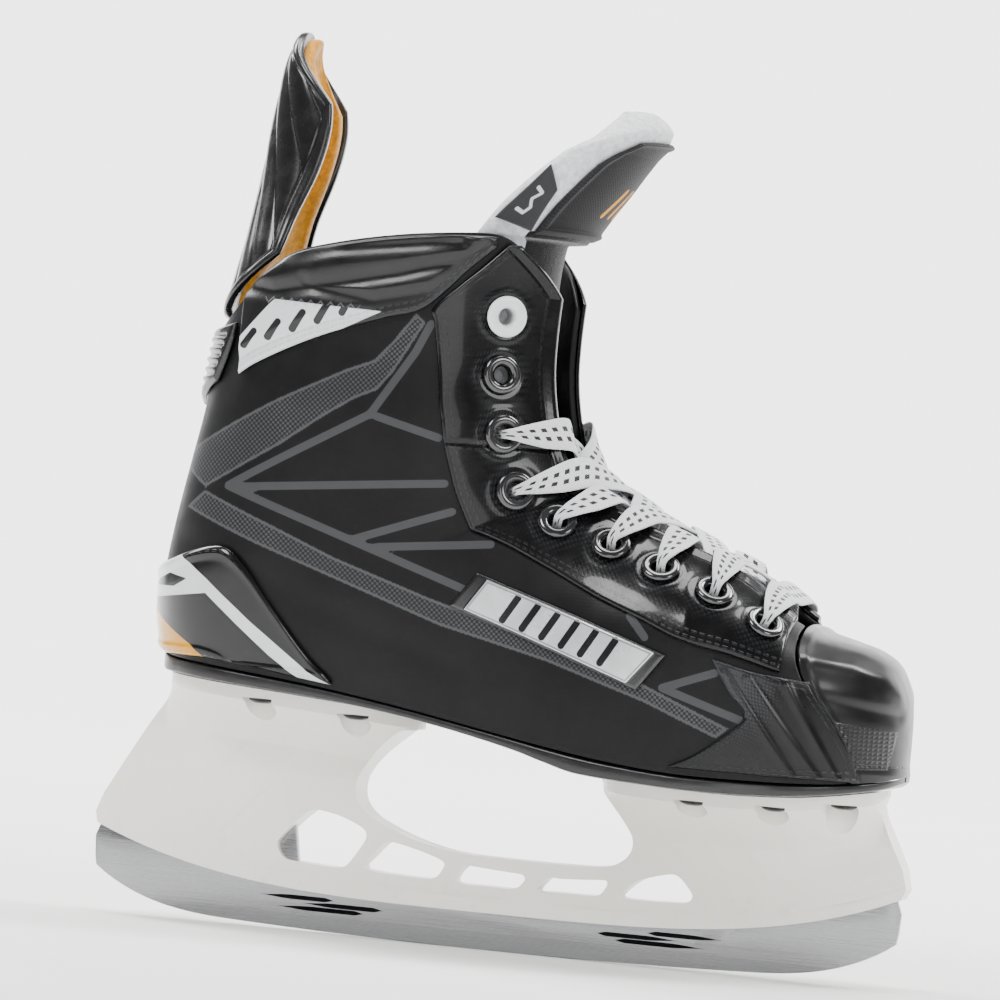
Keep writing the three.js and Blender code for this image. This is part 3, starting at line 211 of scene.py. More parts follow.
widest = curve_of((1, BALL_HALF_WIDTH), (1.18, BALL_HALF_WIDTH - 2.5), (1.35, WAIST_HALF_WIDTH + 2),
                  (1.5, WAIST_HALF_WIDTH), (1.7, WAIST_HALF_WIDTH), (1.86, ANKLE_HALF_WIDTH - 0.8),
                  (2, ANKLE_HALF_WIDTH), (2.35, (ANKLE_HALF_WIDTH + COLLAR_HALF_WIDTH) / 2 - 1.5),
                  (3, COLLAR_HALF_WIDTH))
tuck_of = curve_of((0, 0.05), (1, 0.05), (1.45, 0.13), (1.7, 0.09), (1.8, 0), (3, 0))
bluntness = curve_of((0, 2.7), (0.45, 2.5), (0.9, 2), (3, 2))
shoulder_of = curve_of((0, 0.5), (0.6, 0.46), (1.2, 0.44), (2, 0.4), (3, 0.4))


def half_width_of(s):
    nose = BALL_HALF_WIDTH * np.sqrt(np.maximum(0, 1 - np.maximum(1 - s, 0) ** 2.7))
    return np.where(s >= 1, widest(s), nose)


def share_of(s, v):
    """Share q of the way from the front outline (0) to the back outline (1) at girth v, which is 1 at the
    shoulder: q = h (1 - cos(v pi/2)^(2/b)) before it and h + (1 - h) sin((v - 1) pi/2) behind it."""
    h, b = shoulder_of(s), bluntness(s)
    ahead = h * (1 - np.cos(np.clip(v, 0, 1) * math.pi / 2) ** (2 / b))
    return np.where(v < 1, ahead, h + (1 - h) * np.sin(np.clip(v - 1, 0, 1) * math.pi / 2))


def girth_of(s, q):
    """The inverse of share_of."""
    h, b = shoulder_of(s), bluntness(s)
    ahead = np.arccos(np.clip(1 - q / h, 0, 1) ** (b / 2)) * 2 / math.pi
    return np.where(q < h, ahead, 1 + np.arcsin(np.clip((q - h) / (1 - h), 0, 1)) * 2 / math.pi)


def heel_round(x, z):
    """How far the walls have closed round the back: sqrt(1 - t^2.3), with t rising from 0 at BACK_DEPTH
    ahead of the back outline to 1 on it."""
    t = np.clip((back_x(np.maximum(z, 84.8)) + BACK_DEPTH - x) / BACK_DEPTH, 0, 1)
    return np.sqrt(np.maximum(1 - t**2.3, 0))


def boot_point(s, v, side):
    """Point of the outer surface: side is -1 on the outer side of the foot and +1 on the inner side. Before
    the shoulder a section is the superellipse w sin(v pi/2)^(2/b), and behind it the width w is tucked in."""
    s, v, side = np.broadcast_arrays(np.asarray(s, float), np.asarray(v, float), np.asarray(side, float))
    q = share_of(s, v)
    front, back = np.interp(s, *FRONT_TABLE), np.interp(s, *BACK_TABLE)
    x, z = side_point(s, mix(front, back, q))
    h = shoulder_of(s)
    ahead = np.sin(np.clip(v, 0, 1) * math.pi / 2) ** (2 / bluntness(s))
    behind = 1 - tuck_of(s) * (np.maximum(q - h, 0) / (1 - h)) ** 2
    y = half_width_of(s) * np.where(v < 1, ahead, behind) * heel_round(x, z)
    return np.stack([x, side * y, z], axis=-1)


def unit(vectors):
    return vectors / np.maximum(np.linalg.norm(vectors, axis=-1, keepdims=True), 1e-9)


def boot_normal(s, v, side):
    """Outward unit normal of boot_point, from central differences."""
    step = 0.004
    s, v = np.clip(s, 0.006, 3.1), np.clip(v, step, 2 - step)
    along = boot_point(s + step, v, side) - boot_point(s - step, v, side)
    across = boot_point(s, v + step, side) - boot_point(s, v - step, side)
    return unit(np.cross(across, along) * np.asarray(side, float)[..., None])


def boot_offset(s, v, side, height):
    """Point at a height above the outer surface, kept on its own side of the middle plane."""
    s, v, side, height = np.broadcast_arrays(*(np.asarray(a, float) for a in (s, v, side, height)))
    point = boot_point(s, v, side) + boot_normal(s, v, side) * height[..., None]
    away = np.maximum(side * point[..., 1], GAP / 2)
    point[..., 1] = np.where(v > 0.02, side * away, point[..., 1])
    return point


def over_side(x, z, side, height):
    """boot_offset for places given in the side view."""
    s, r = locate(x, z)
    front, back = np.interp(s, *FRONT_TABLE), np.interp(s, *BACK_TABLE)
    return boot_offset(s, girth_of(s, np.clip((r - front) / (back - front), 0, 1)), side, height)


def girth_at_width(s, width):
    return np.arcsin(np.clip(width / half_width_of(s), 0, 1) ** (bluntness(s) / 2)) * 2 / math.pi


cap_border_x = curve_of((64, 115), (73, 112), (83, 107), (92, 101), (100, 97), (108, 95.5), (120, 95))
collar_top_z = curve_of((-101.5, 187.6), (-98.5, 189.6), (-92, 196), (-84, 204.6), (-75, 212), (-60, 216.8),
                        (-40, 220.8), (-20, 223), (-8, 223), (-2, 219.5), (3, 214), (7.5, 205), (9, 200))


def edge_girth(s):
    """Girth of the facing's edge, FACING_HALF_GAP from the middle."""
    return girth_at_width(s, FACING_HALF_GAP)


def border_section(girth_at):
    """Section where the toe cap's rear border is met, by repeated substitution."""
    s = 0.4
    for _ in range(14):
        s = (TOE_X - cap_border_x(boot_point(s, girth_at(s), 1)[..., 2])) / FOREFOOT
    return s


def top_section(girth_at):
    """Section where the collar's top line is met, by damped repeated substitution."""
    s = 2.8
    for _ in range(14):
        s = mix(s, 2 + (collar_top_z(boot_point(s, girth_at(s), 1)[..., 0]) - PIVOT_Z) / RISE, 0.6)
    return s


def eyelet_places(side):
    """Sections and girths of the eyelets, top one first, EYELET_PITCH apart along the row."""
    s = np.linspace(0.66, 2.8, 601)
    v = girth_of(s, EYELET_SHARE)
    steps = np.linalg.norm(np.diff(boot_point(s, v, side), axis=0), axis=1)
    travelled = np.concatenate([[0], np.cumsum(steps)])
    picks = np.searchsorted(travelled, EYELET_PITCH * np.arange(EYELET_COUNT))[::-1]
    return s[picks], v[picks]


# ---------------------------------------------------------------- meshes
def new_mesh(name, points, faces, values=None):
    """Object from points in millimetres and an array of quads or triangles, turned to face outward, with
    per-point values stored as float attributes. Outward means a positive volume sum((a x b) . c) / 6."""
    points = np.asarray(points, float) * MM
    faces = np.asarray(faces)
    corners = points[faces]
    volume = 0
    for k in range(1, faces.shape[1] - 1):
        volume += np.einsum("ij,ij->", np.cross(corners[:, 0], corners[:, k]), corners[:, k + 1])
    if volume < 0:
        faces = faces[:, ::-1]
    mesh = bpy.data.meshes.new(name)
    mesh.from_pydata(points.tolist(), [], faces.tolist())
    for key, data in (values or {}).items():
        data = np.asarray(data, np.float32)
        if data.ndim == 2:
            mesh.attributes.new(key, "FLOAT_VECTOR", "POINT").data.foreach_set("vector", data.ravel())
        else:
            mesh.attributes.new(key, "FLOAT", "POINT").data.foreach_set("value", data)
    mesh.polygons.foreach_set("use_smooth", np.ones(len(mesh.polygons), bool))
    mesh.update()
    obj = bpy.data.objects.new(name, mesh)
    bpy.context.collection.objects.link(obj)
    return obj


def spans(grid):
    """Running lengths of a grid: u along each row and v down each column."""
    across = np.linalg.norm(np.diff(grid, axis=1), axis=2)
    along = np.linalg.norm(np.diff(grid, axis=0), axis=2)
    u = np.concatenate([np.zeros((grid.shape[0], 1)), np.cumsum(across, axis=1)], axis=1)
    v = np.concatenate([np.zeros((1, grid.shape[1])), np.cumsum(along, axis=0)], axis=0)
    return u, v


def edge_distance(grid):
    """Distance over the surface from each grid point to the nearest border, along its row or column."""
    u, v = spans(grid)
    return np.min([u, u[:, -1:] - u, v, v[-1:] - v], axis=0)


def rounded(distance, radius):
    """Profile of a rounded edge: sqrt(1 - (1 - d/r)^2), 0 on the border and 1 from the radius inward."""
    return np.sqrt(1 - (1 - np.clip(distance / radius, 0, 1)) ** 2)


def grid_faces(rows, columns, start=0, turn_over=False):
    i, j = np.meshgrid(np.arange(rows - 1), np.arange(columns - 1), indexing="ij")
    a = (start + i * columns + j).ravel()
    quads = np.stack([a, a + 1, a + columns + 1, a + columns], axis=1)
    return quads[:, ::-1] if turn_over else quads


def plate(name, outer, inner, values=None, welded_end=False):
    """Closed plate between an outer and an inner grid: both faces and a strip of quads round the border.
    Attributes are given for the outer grid and repeated inside; cloth holds the distances along the plate."""
    rows, columns = outer.shape[:2]
    size = rows * columns
    faces = [grid_faces(rows, columns), grid_faces(rows, columns, size, True)]
    at = np.arange(size).reshape(rows, columns)
    borders = [at[:, 0][::-1], at[0], at[:, -1]] + ([] if welded_end else [at[-1][::-1]])
    for ring in borders:
        a, b = ring[:-1], ring[1:]
        faces.append(np.stack([b, a, a + size, b + size], axis=1))
    u, v = spans(outer)
    middle = u[:, [columns // 2]]
    cloth = np.stack([u - middle, v, np.zeros_like(u)], axis=-1)
    stored = {"cloth": cloth, "edge": edge_distance(outer), "outside": np.ones((rows, columns)), **(values or {})}
    both = {}
    for key, data in stored.items():
        flat = data.reshape(size, -1) if data.ndim == 3 else data.ravel()
        second = np.zeros_like(flat) if key == "outside" else flat
        both[key] = np.concatenate([flat, second])
    points = np.concatenate([outer.reshape(size, 3), inner.reshape(size, 3)])
    return new_mesh(name, points, np.concatenate(faces), both)


def ring_loft(name, rings, values=None, closed=False):
    """Surface through closed rings of points, with a fan to the middle of each end."""
    rows, columns = rings.shape[:2]
    at = np.arange(rows * columns).reshape(rows, columns)
    wrap = np.concatenate([at, at[:, :1]], axis=1)
    if closed:
        wrap = np.concatenate([wrap, wrap[:1]], axis=0)
    quads = np.stack([wrap[:-1, :-1], wrap[:-1, 1:], wrap[1:, 1:], wrap[1:, :-1]], axis=-1).reshape(-1, 4)
    points = rings.reshape(-1, 3)
    if not closed:
        first, last = len(points), len(points) + 1
        points = np.concatenate([points, rings[0].mean(0)[None], rings[-1].mean(0)[None]])
        ring, far = wrap[0], wrap[-1]
        fans = [np.stack([ring[1:], ring[:-1], np.full(columns, first), np.full(columns, first)], axis=1),
                np.stack([far[:-1], far[1:], np.full(columns, last), np.full(columns, last)], axis=1)]
        values = {k: np.concatenate([v, v[:1], v[-1:]]) for k, v in (values or {}).items()}
        quads = np.concatenate([quads] + fans)
        return tidy_faces(name, points, quads, values)
    return new_mesh(name, points, quads, values)


def tidy_faces(name, points, quads, values):
    """new_mesh for quads of which some repeat their last corner: those become triangles."""
    flat = quads[:, 2] == quads[:, 3]
    triangles = np.concatenate([quads[~flat][:, [0, 1, 2]], quads[~flat][:, [0, 2, 3]], quads[flat][:, :3]])
    return new_mesh(name, points, triangles, values)


def lathe(profile, sides=40):
    """Rings of a profile of (radius, height) pairs turned round the z axis, closed on itself."""
    turn = np.linspace(0, 2 * math.pi, sides, endpoint=False)
    r, h = np.array(profile, float).T
    x, y = np.cos(turn)[None] * r[:, None], np.sin(turn)[None] * r[:, None]
    return np.stack([x, y, np.repeat(h[:, None], sides, axis=1)], axis=-1)


def stand_on(rings, centre, normal):
    """Turns rings from the z axis to a normal and moves them to a centre."""
    turn = np.array(Vector((0, 0, 1)).rotation_difference(Vector(normal)).to_matrix())
    return rings @ turn.T + np.asarray(centre)


def prism(outline, half):
    """Closed prism of a side-view outline between y = -half and +half, turned to face outward by the sign
    of the outline's area."""
    x, z = np.array(outline).T
    if np.sum(x * np.roll(z, -1) - z * np.roll(x, -1)) < 0:
        outline = outline[::-1]
    low = [(x * MM, -half * MM, z * MM) for x, z in outline]
    high = [(x * MM, half * MM, z * MM) for x, z in outline]
    count = len(outline)
    faces = [tuple(range(count)), tuple(range(2 * count - 1, count - 1, -1))]
    faces += [(i, i + count, (i + 1) % count + count, (i + 1) % count) for i in range(count)]
    mesh = bpy.data.meshes.new("cutter")
    mesh.from_pydata(low + high, [], faces)
    return mesh


def carve(obj, cutters):
    """Takes every cutter mesh out of obj with one boolean modifier each, applied at once."""
    for mesh in cutters:
        tool = bpy.data.objects.new("cutter", mesh)
        bpy.context.collection.objects.link(tool)
        change = obj.modifiers.new("carve", "BOOLEAN")
        change.object, change.operation, change.solver = tool, "DIFFERENCE", "MANIFOLD"
        freeze(obj)
        bpy.data.objects.remove(tool)
    return obj


def freeze(obj):
    """Applies every modifier."""
    seen = obj.evaluated_get(bpy.context.evaluated_depsgraph_get())
    mesh = bpy.data.meshes.new_from_object(seen)
    obj.modifiers.clear()
    obj.data = mesh
    return obj


def settle(obj, material, slot, body, *nodes):
    """Gives a finished piece its material and its body, and hides the frame nodes it stands for; slot is not used.
    """
    if material is not None:
        obj.data.materials.clear()
        obj.data.materials.append(material)
    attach(obj, body)
    if nodes:
        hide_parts(*nodes)
    return obj


# ---------------------------------------------------------------- materials
def linear(hex_color):
    """Linear colour of an sRGB hex string: c / 12.92 below 0.04045, else ((c + 0.055) / 1.055)^2.4."""
    parts = [int(hex_color[i:i + 2], 16) / 255 for i in (0, 2, 4)]
    return tuple(c / 12.92 if c <= 0.04045 else ((c + 0.055) / 1.055) ** 2.4 for c in parts) + (1,)


class Paint:
    """A material with a Principled shader and short calls for the nodes that feed it."""

    def __init__(self, name, roughness=0.5, metallic=0.0):
        self.material = bpy.data.materials.new(name)
        self.material.use_nodes = True
        self.tree = self.material.node_tree
        self.shader = self.tree.nodes["Principled BSDF"]
        self.shader.inputs["Roughness"].default_value = roughness
        self.shader.inputs["Metallic"].default_value = metallic
        self.place = self.node("ShaderNodeTexCoord").outputs["Object"]

    def node(self, kind, **settings):
        made = self.tree.nodes.new(kind)
        for key, value in settings.items():
            setattr(made, key, value)
        return made

    def feed(self, socket, value):
        if isinstance(value, bpy.types.NodeSocket):
            self.tree.links.new(value, socket)
        elif value is not None:
            if isinstance(value, str):
                value = linear(value)
            socket.default_value = value

    def math(self, operation, a, b=None, c=None):
        made = self.node("ShaderNodeMath", operation=operation)
        for socket, value in zip(made.inputs, (a, b, c)):
            self.feed(socket, value)
        return made.outputs[0]

    def vector(self, operation, a, b=None):
        made = self.node("ShaderNodeVectorMath", operation=operation)
        self.feed(made.inputs[0], a)
        if operation == "SCALE":
            self.feed(made.inputs["Scale"], b)
        else:
            self.feed(made.inputs[1], b)
        return made.outputs["Value"] if operation in ("LENGTH", "DISTANCE") else made.outputs["Vector"]

    def attribute(self, name, output="Fac"):
        return self.node("ShaderNodeAttribute", attribute_name=name).outputs[output]

    def cloth(self, pitch, turn=0.0):
        """Distances along the piece in units of a pitch in millimetres, turned by an angle in degrees."""
        spot = self.vector("SCALE", self.attribute("cloth", "Vector"), 1 / pitch)
        if turn:
            made = self.node("ShaderNodeVectorRotate", rotation_type="Z_AXIS")
            self.feed(made.inputs["Vector"], spot)
            made.inputs["Angle"].default_value = math.radians(turn)
            spot = made.outputs[0]
        return spot

    def scaled(self, pitch):
        """Object coordinates in units of a pitch in millimetres."""
        return self.vector("SCALE", self.place, 1 / (pitch * MM))

    def ramp(self, value, low, high, start=0.0, end=1.0):
        made = self.node("ShaderNodeMapRange", interpolation_type="SMOOTHSTEP", clamp=True)
        for socket, data in zip(made.inputs[:5], (value, low, high, start, end)):
            self.feed(socket, data)
        return made.outputs[0]

    def blend(self, factor, a, b):
        made = self.node("ShaderNodeMix", data_type="RGBA")
        self.feed(made.inputs[0], factor)
        self.feed(made.inputs[6], a)
        self.feed(made.inputs[7], b)
        return made.outputs[2]

    def noise(self, spot, scale=1.0, detail=3.0, rough=0.5):
        made = self.node("ShaderNodeTexNoise")
        self.feed(made.inputs["Vector"], spot)
        for key, value in (("Scale", scale), ("Detail", detail), ("Roughness", rough)):
            made.inputs[key].default_value = value
        return made.outputs["Fac"]

    def cells(self, spot, randomness=0.0, output="Distance", feature="F1"):
        made = self.node("ShaderNodeTexVoronoi", feature=feature)
        self.feed(made.inputs["Vector"], spot)
        made.inputs["Scale"].default_value = 1
        made.inputs["Randomness"].default_value = randomness
        return made.outputs[output]

    def part(self, spot, axis):
        made = self.node("ShaderNodeSeparateXYZ")
        self.feed(made.inputs[0], spot)
        return made.outputs[axis]

    def wave(self, value):
        """0.5 + 0.5 sin(2 pi value)."""
        turned = self.math("MULTIPLY", value, 2 * math.pi)
        return self.math("MULTIPLY_ADD", self.math("SINE", turned), 0.5, 0.5)

    def lattice(self, operation, pitch):
        """Two crossed waves in the side view, multiplied or the larger of them."""
        spot = self.scaled(pitch)
        return self.math(operation, self.wave(self.part(spot, 0)), self.wave(self.part(spot, 2)))

    def weave(self, pitch, turn=0.0):
        """Over and under of a plain weave: the larger of two crossed waves in a checkered order."""
        spot = self.cloth(pitch, turn)
        a, b = self.wave(self.part(spot, 0)), self.wave(self.part(spot, 1))
        return self.math("MAXIMUM", self.math("MULTIPLY", a, a), self.math("MULTIPLY", b, b))

    def inside(self, name, width=0.12):
        """1 where a signed distance stored on the piece is negative, eased over a width in millimetres."""
        return self.ramp(self.attribute(name), -width, width, 1.0, 0.0)

    def along(self, axis):
        """Distance along the piece itself in millimetres."""
        return self.part(self.attribute("cloth", "Vector"), axis)

    def drifting(self, pitch, dark, light, high=0.7):
        """A colour that drifts slowly between two, over a pitch in millimetres."""
        return self.blend(self.ramp(self.noise(self.scaled(pitch), detail=4), 0.3, high), dark, light)

    def uneven(self, pitch, low, high):
        """Roughness that wanders between two values, over a pitch in millimetres."""
        return self.rough(self.ramp(self.noise(self.scaled(pitch), detail=5), 0.25, 0.8, low, high))

    def color(self, value):
        self.feed(self.shader.inputs["Base Color"], value)
        return self

    def rough(self, value):
        self.feed(self.shader.inputs["Roughness"], value)
        return self

    def raise_by(self, height, depth_mm, strength=1.0):
        """Bump from a height of 0 to 1 that stands for a depth in millimetres; calls add up."""
        made = self.node("ShaderNodeBump")
        self.feed(made.inputs["Height"], height)
        made.inputs["Distance"].default_value = depth_mm * MM
        made.inputs["Strength"].default_value = strength
        socket = self.shader.inputs["Normal"]
        if socket.is_linked:
            self.tree.links.new(socket.links[0].from_socket, made.inputs["Normal"])
        self.tree.links.new(made.outputs[0], socket)
        return self

    def set(self, **values):
        for key, value in values.items():
            self.feed(self.shader.inputs[key.replace("_", " ")], value)
        return self


def grained(name, dark, light, roughness, grain_mm=0.9, depth=0.05, **extra):
    """Moulded plastic or metal: fine pebbles and a slow drift of colour and roughness."""
    paint = Paint(name)
    pebbles = paint.cells(paint.scaled(grain_mm), 1.0, feature="SMOOTH_F1")
    paint.color(paint.drifting(22, dark, light, 0.75))
    paint.uneven(9, roughness - 0.06, roughness + 0.08)
    paint.raise_by(pebbles, depth, 0.8)
    paint.raise_by(paint.noise(paint.scaled(0.35), detail=2), depth * 0.5, 0.4)
    return paint.set(**extra)


def felt(name, dark, light, depth=0.3, covered=False):
    """Thick needled felt: tangled fibres with small hollows and a strong sheen. Where the attribute cover is 1
    its outside is faced with black nylon."""
    paint = Paint(name, 0.95)
    coarse = paint.noise(paint.scaled(2.2), detail=6, rough=0.7)
    fine = paint.noise(paint.scaled(0.45), detail=4, rough=0.7)
    color = paint.blend(paint.ramp(coarse, 0.3, 0.7), dark, light)
    if covered:
        cover = paint.math("MULTIPLY", paint.attribute("cover"), paint.attribute("outside"))
        nylon = paint.blend(paint.weave(0.8, 45), "050506", "0c0c0e")
        color = paint.blend(paint.ramp(cover, 0.45, 0.55), color, nylon)
    paint.color(color)
    paint.raise_by(coarse, depth, 0.8)
    paint.raise_by(fine, depth * 0.5, 0.8)
    return paint.set(Sheen_Weight=0.5, Sheen_Roughness=0.4)


# ---------------------------------------------------------------- printed bands of the side walls
# Every band is given in the side view, at the surface of the lateral wall.
WIDE_BANDS = [
    [(-112, 146), (-96, 154.5), (-75, 166.5), (-53, 178), (-44.5, 181.5), (-39, 188), (-32.5, 197), (-29, 194.5),
     (-38, 178), (-42.5, 172), (-49, 169), (-58, 163), (-72, 152.5), (-88, 142.5), (-97, 137.3)],
    [(-97, 136.7), (-72, 127.3), (-52, 119.3), (-22, 109.8), (8.5, 101.2), (49, 89.7), (78.5, 78), (74.5, 74.5),
     (51, 83.5), (18.5, 93), (-17, 101), (-47, 111), (-77, 121), (-104, 130.8)],
]
FINE_BANDS = [
    [(-88.5, 138.5), (-44, 164.5), (-31.5, 185), (-27.5, 194)], [(-42, 164), (-22, 159)],
    [(-88.5, 138.5), (-44, 124), (-7, 112)], [(-84, 138.5), (-19, 145)], [(-47, 125), (-16, 136.5)],
    [(-39, 123.5), (-3, 127.5)], [(44, 109.5), (49.5, 103.5)], [(72.5, 94.5), (56.5, 88.5), (82.5, 80.5)],
]


def band_distance(x, z):
    """Signed distance to the printed bands: the wide polygons and the chains grown to half their width."""
    wide = np.min([outline_distance(x, z, band) for band in WIDE_BANDS], axis=0)
    fine = np.min([line_distance(x, z, *band) for band in FINE_BANDS], axis=0) - 1.25
    return wide, fine


def printed_paint(size):
    """Satin laminate with a faint grid, printed with dotted grey bands."""
    paint = Paint("printed_laminate")
    spot = paint.vector("SCALE", paint.place, 1 / size.dot_pitch)
    flat = paint.node("ShaderNodeCombineXYZ")
    a, b = paint.part(spot, 0), paint.part(spot, 2)
    paint.feed(flat.inputs[0], paint.math("MULTIPLY", paint.math("ADD", a, b), 0.7071))
    paint.feed(flat.inputs[1], paint.math("MULTIPLY", paint.math("SUBTRACT", a, b), 0.7071))
    dots = paint.ramp(paint.cells(flat.outputs[0]), 0.33, 0.45, 1.0, 0.0)
    wide = paint.inside("wide", 0.15)
    fine = paint.inside("fine")
    rim = paint.ramp(paint.math("ABSOLUTE", paint.math("ADD", paint.attribute("wide"), 0.6)), 0.25, 0.5, 1.0, 0.0)
    drift = paint.noise(paint.scaled(26), detail=4)
    base = paint.blend(paint.ramp(drift, 0.3, 0.75), "08080a", size.colors.wall)
    ink = paint.blend(paint.ramp(drift, 0.35, 0.7), "3b3c3d", size.colors.band)
    dotted = paint.blend(dots, "19191b", ink)
    color = paint.blend(wide, base, dotted)
    color = paint.blend(paint.math("MULTIPLY", rim, wide), color, "434446")
    color = paint.blend(fine, color, size.colors.line)
    paint.color(color)
    paint.uneven(8, 0.4, 0.5)
    paint.raise_by(paint.lattice("MULTIPLY", 1.1), 0.03, 0.5)
    paint.raise_by(paint.noise(paint.scaled(0.5)), 0.02, 0.4)
    return paint.set(Specular_IOR_Level=0.2).material


def section_rows(low, high, rows):
    """Sections from low to high for each column, even between fixed anchors that stand closer at the heel."""
    anchors = (0.75, 1, 1.25, 1.45, 1.58, 1.66, float(locate(-111, 85)[0]), 1.76, 1.85, 2, 2.3)
    marks = np.stack([low, *[np.full_like(low, a) for a in anchors], high])
    place = np.linspace(0, len(marks) - 1, rows)
    i = np.minimum(place.astype(int), len(marks) - 2)
    return mix(marks[i], marks[i + 1], (place - i)[:, None])


WALL_ROWS, WALL_COLUMNS = 420, 170


def wall_grid(side, height):
    """Grid over a side wall from the toe cap's border to the collar's top, from the facing's edge to the
    back seam. height is a number, or a function of the side view's x and z."""
    ahead = WALL_COLUMNS // 3
    g = np.concatenate([np.linspace(0, 0.7, ahead, endpoint=False), np.linspace(0.7, 2, WALL_COLUMNS - ahead)])
    girth_at = lambda s: np.maximum(edge_girth(np.clip(s, 0.2, 3)), g)
    s = section_rows(border_section(girth_at) + 3 * GAP / FOREFOOT, top_section(girth_at), WALL_ROWS)
    v = np.maximum(edge_girth(np.clip(s, 0.2, 3)), g)
    if callable(height):
        x, _, z = np.moveaxis(boot_point(s, v, side), -1, 0)
        height = height(x, z)
    return boot_offset(s, v, side, height)


def crease_depth(x, z):
    """Soft dents where the boot flexes over the instep and the long press lines of the moulded wall."""
    line = bell(line_distance(x, z, (-103, 120), (-60, 104), (-10, 88)), 5)
    flex = bell(line_distance(x, z, (40, 118), (20, 104)), 6)
    return -0.35 * line - 0.3 * flex


def build_quarters(size):
    paint = printed_paint(size)
    for name, side in SIDES:
        outer = wall_grid(side, crease_depth)
        inner = wall_grid(side, -WALL)
        wide, fine = band_distance(outer[..., 0], outer[..., 2])
        obj = plate(f"side_wall_{name}", outer, inner, {"wide": wide, "fine": fine})
        punch(obj, side)
        settle(obj, paint, "quarter_black", "root", f"quarter_{name}")


def punch(obj, side, grow=0.25):
    """Round holes for the eyelets' barrels."""
    tools = []
    for s, v in zip(*eyelet_places(side)):
        centre, normal = boot_point(s, v, side), boot_normal(s, v, side)
        profile = [(0, -9), (EYELET_BARREL + grow, -9), (EYELET_BARREL + grow, 9), (0, 9)]
        rings = stand_on(lathe(profile, 24), centre, normal)
        tool = ring_loft("hole", rings[1:3])
        tools.append(tool.data)
        bpy.data.objects.remove(tool)
    return carve(obj, tools)


facing_rear = curve_of((0.5, 0.325), (0.66, 0.365), (0.85, 0.395), (1, 0.405), (1.15, 0.375), (1.35, 0.35),
                       (1.55, 0.31), (1.72, 0.275), (1.85, 0.285), (2, 0.31), (2.25, 0.32), (2.5, 0.345),
                       (2.56, 0.355), (2.7, 0.29), (2.8, 0.24), (2.93, 0.185))


def build_facings(size):
    """Glossy facings with a rolled edge, a raised ring round each eyelet and two rows of stitching."""
    paint = facing_paint(size)
    for name, side in SIDES:
        s = np.linspace(0.545, 2.93, 520)[:, None]
        g = crowded(70)[None]
        lifted = 0.03 + 0.125 * np.maximum((s - 2.6) / 0.33, 0) ** 1.7
        start = np.maximum(edge_girth(s), girth_of(s, np.where(s < 2.6, 0.03, lifted)))
        v = mix(start, girth_of(s, facing_rear(s)), g)
        s = np.broadcast_to(s, v.shape)
        base = boot_offset(s, v, side, SEAT)
        u, _ = spans(base)
        near = u                                       # distance from the front edge
        far = u[:, -1:] - u                            # distance from the rear seam
        rings = np.full(v.shape, 99.0)
        for es, ev in zip(*eyelet_places(side)):
            rings = np.minimum(rings, np.linalg.norm(base - boot_offset(es, ev, side, SEAT), axis=-1))
        roll = 0.9 * bell(near - 2.6, 1.7)
        halo = 0.16 * bell(rings - 7.6, 0.9)
        groove = -0.35 * bell(near - 6, 0.7)
        belt = np.abs(base[..., 2] - 158)
        cross = -0.4 * bell(belt, 0.6) * smooth(5, 8, near)
        body = LAYER - 0.25 + (roll + halo + groove + cross) * smooth(0, 1.2, far)
        height = SEAT + 0.25 + (body - 0.25) * rounded(edge_distance(base), 1.3)
        outer = boot_offset(s, v, side, height)
        obj = plate(f"lace_facing_{name}", outer, base, {"near": near, "far": far, "ring": rings, "belt": belt})
        punch(obj, side)
        settle(obj, paint, "facing_gloss", "root", f"facing_{name}")


def stitches(size, paint, distance, along, offset):
    """Mask of a row of stitches at an offset from an edge: a narrow line broken at an even pitch."""
    line = paint.ramp(paint.math("ABSOLUTE", paint.math("SUBTRACT", distance, offset)), 0.18, 0.42, 1.0, 0.0)
    beat = paint.ramp(paint.wave(paint.math("DIVIDE", along, size.stitch_pitch / MM)), 0.22, 0.4)
    return paint.math("MULTIPLY", line, beat)


def facing_paint(size):
    """Patent synthetic with a fine diamond mesh, paler mesh round the eyelets and twin black stitching."""
    paint = Paint("patent_facing")
    spot = paint.cloth(1.5, 45)
    mesh = paint.ramp(paint.cells(spot), 0.2, 0.5)
    halo = paint.ramp(paint.attribute("ring"), 7.8, 11.5, 1.0, 0.0)
    rear = paint.ramp(paint.attribute("near"), 6.0, 6.8)
    base = paint.drifting(17, "040405", "08080a")
    lit = paint.blend(mesh, "1b1c1e", "060607")
    color = paint.blend(paint.math("MULTIPLY", halo, rear), base, lit)
    along = paint.along(1)
    rows = paint.math("MAXIMUM", stitches(size, paint, paint.attribute("far"), along, 1.7),
                      stitches(size, paint, paint.attribute("far"), along, 3.6))
    across = paint.along(0)
    belt = paint.math("MULTIPLY", stitches(size, paint, paint.attribute("belt"), across, 1.5), rear)
    rows = paint.math("MAXIMUM", rows, belt)
    rows = paint.math("MAXIMUM", rows, stitches(size, paint, paint.attribute("near"), along, 7.2))
    color = paint.blend(rows, color, "161719")
    paint.color(color)
    paint.uneven(6, 0.2, 0.34)
    paint.raise_by(mesh, 0.03, 0.35)
    paint.raise_by(rows, 0.25, 0.7)
    return paint.set(Specular_IOR_Level=0.18, Coat_Weight=0.3, Coat_Roughness=0.07).material


strap_rear = curve_of((64, 58.5), (68.5, 68), (78, 80), (83, 82.5), (88, 77.5), (97, 70.5))
strap_top = curve_of((60, 101), (70, 99.2), (84, 96), (99, 94.2))


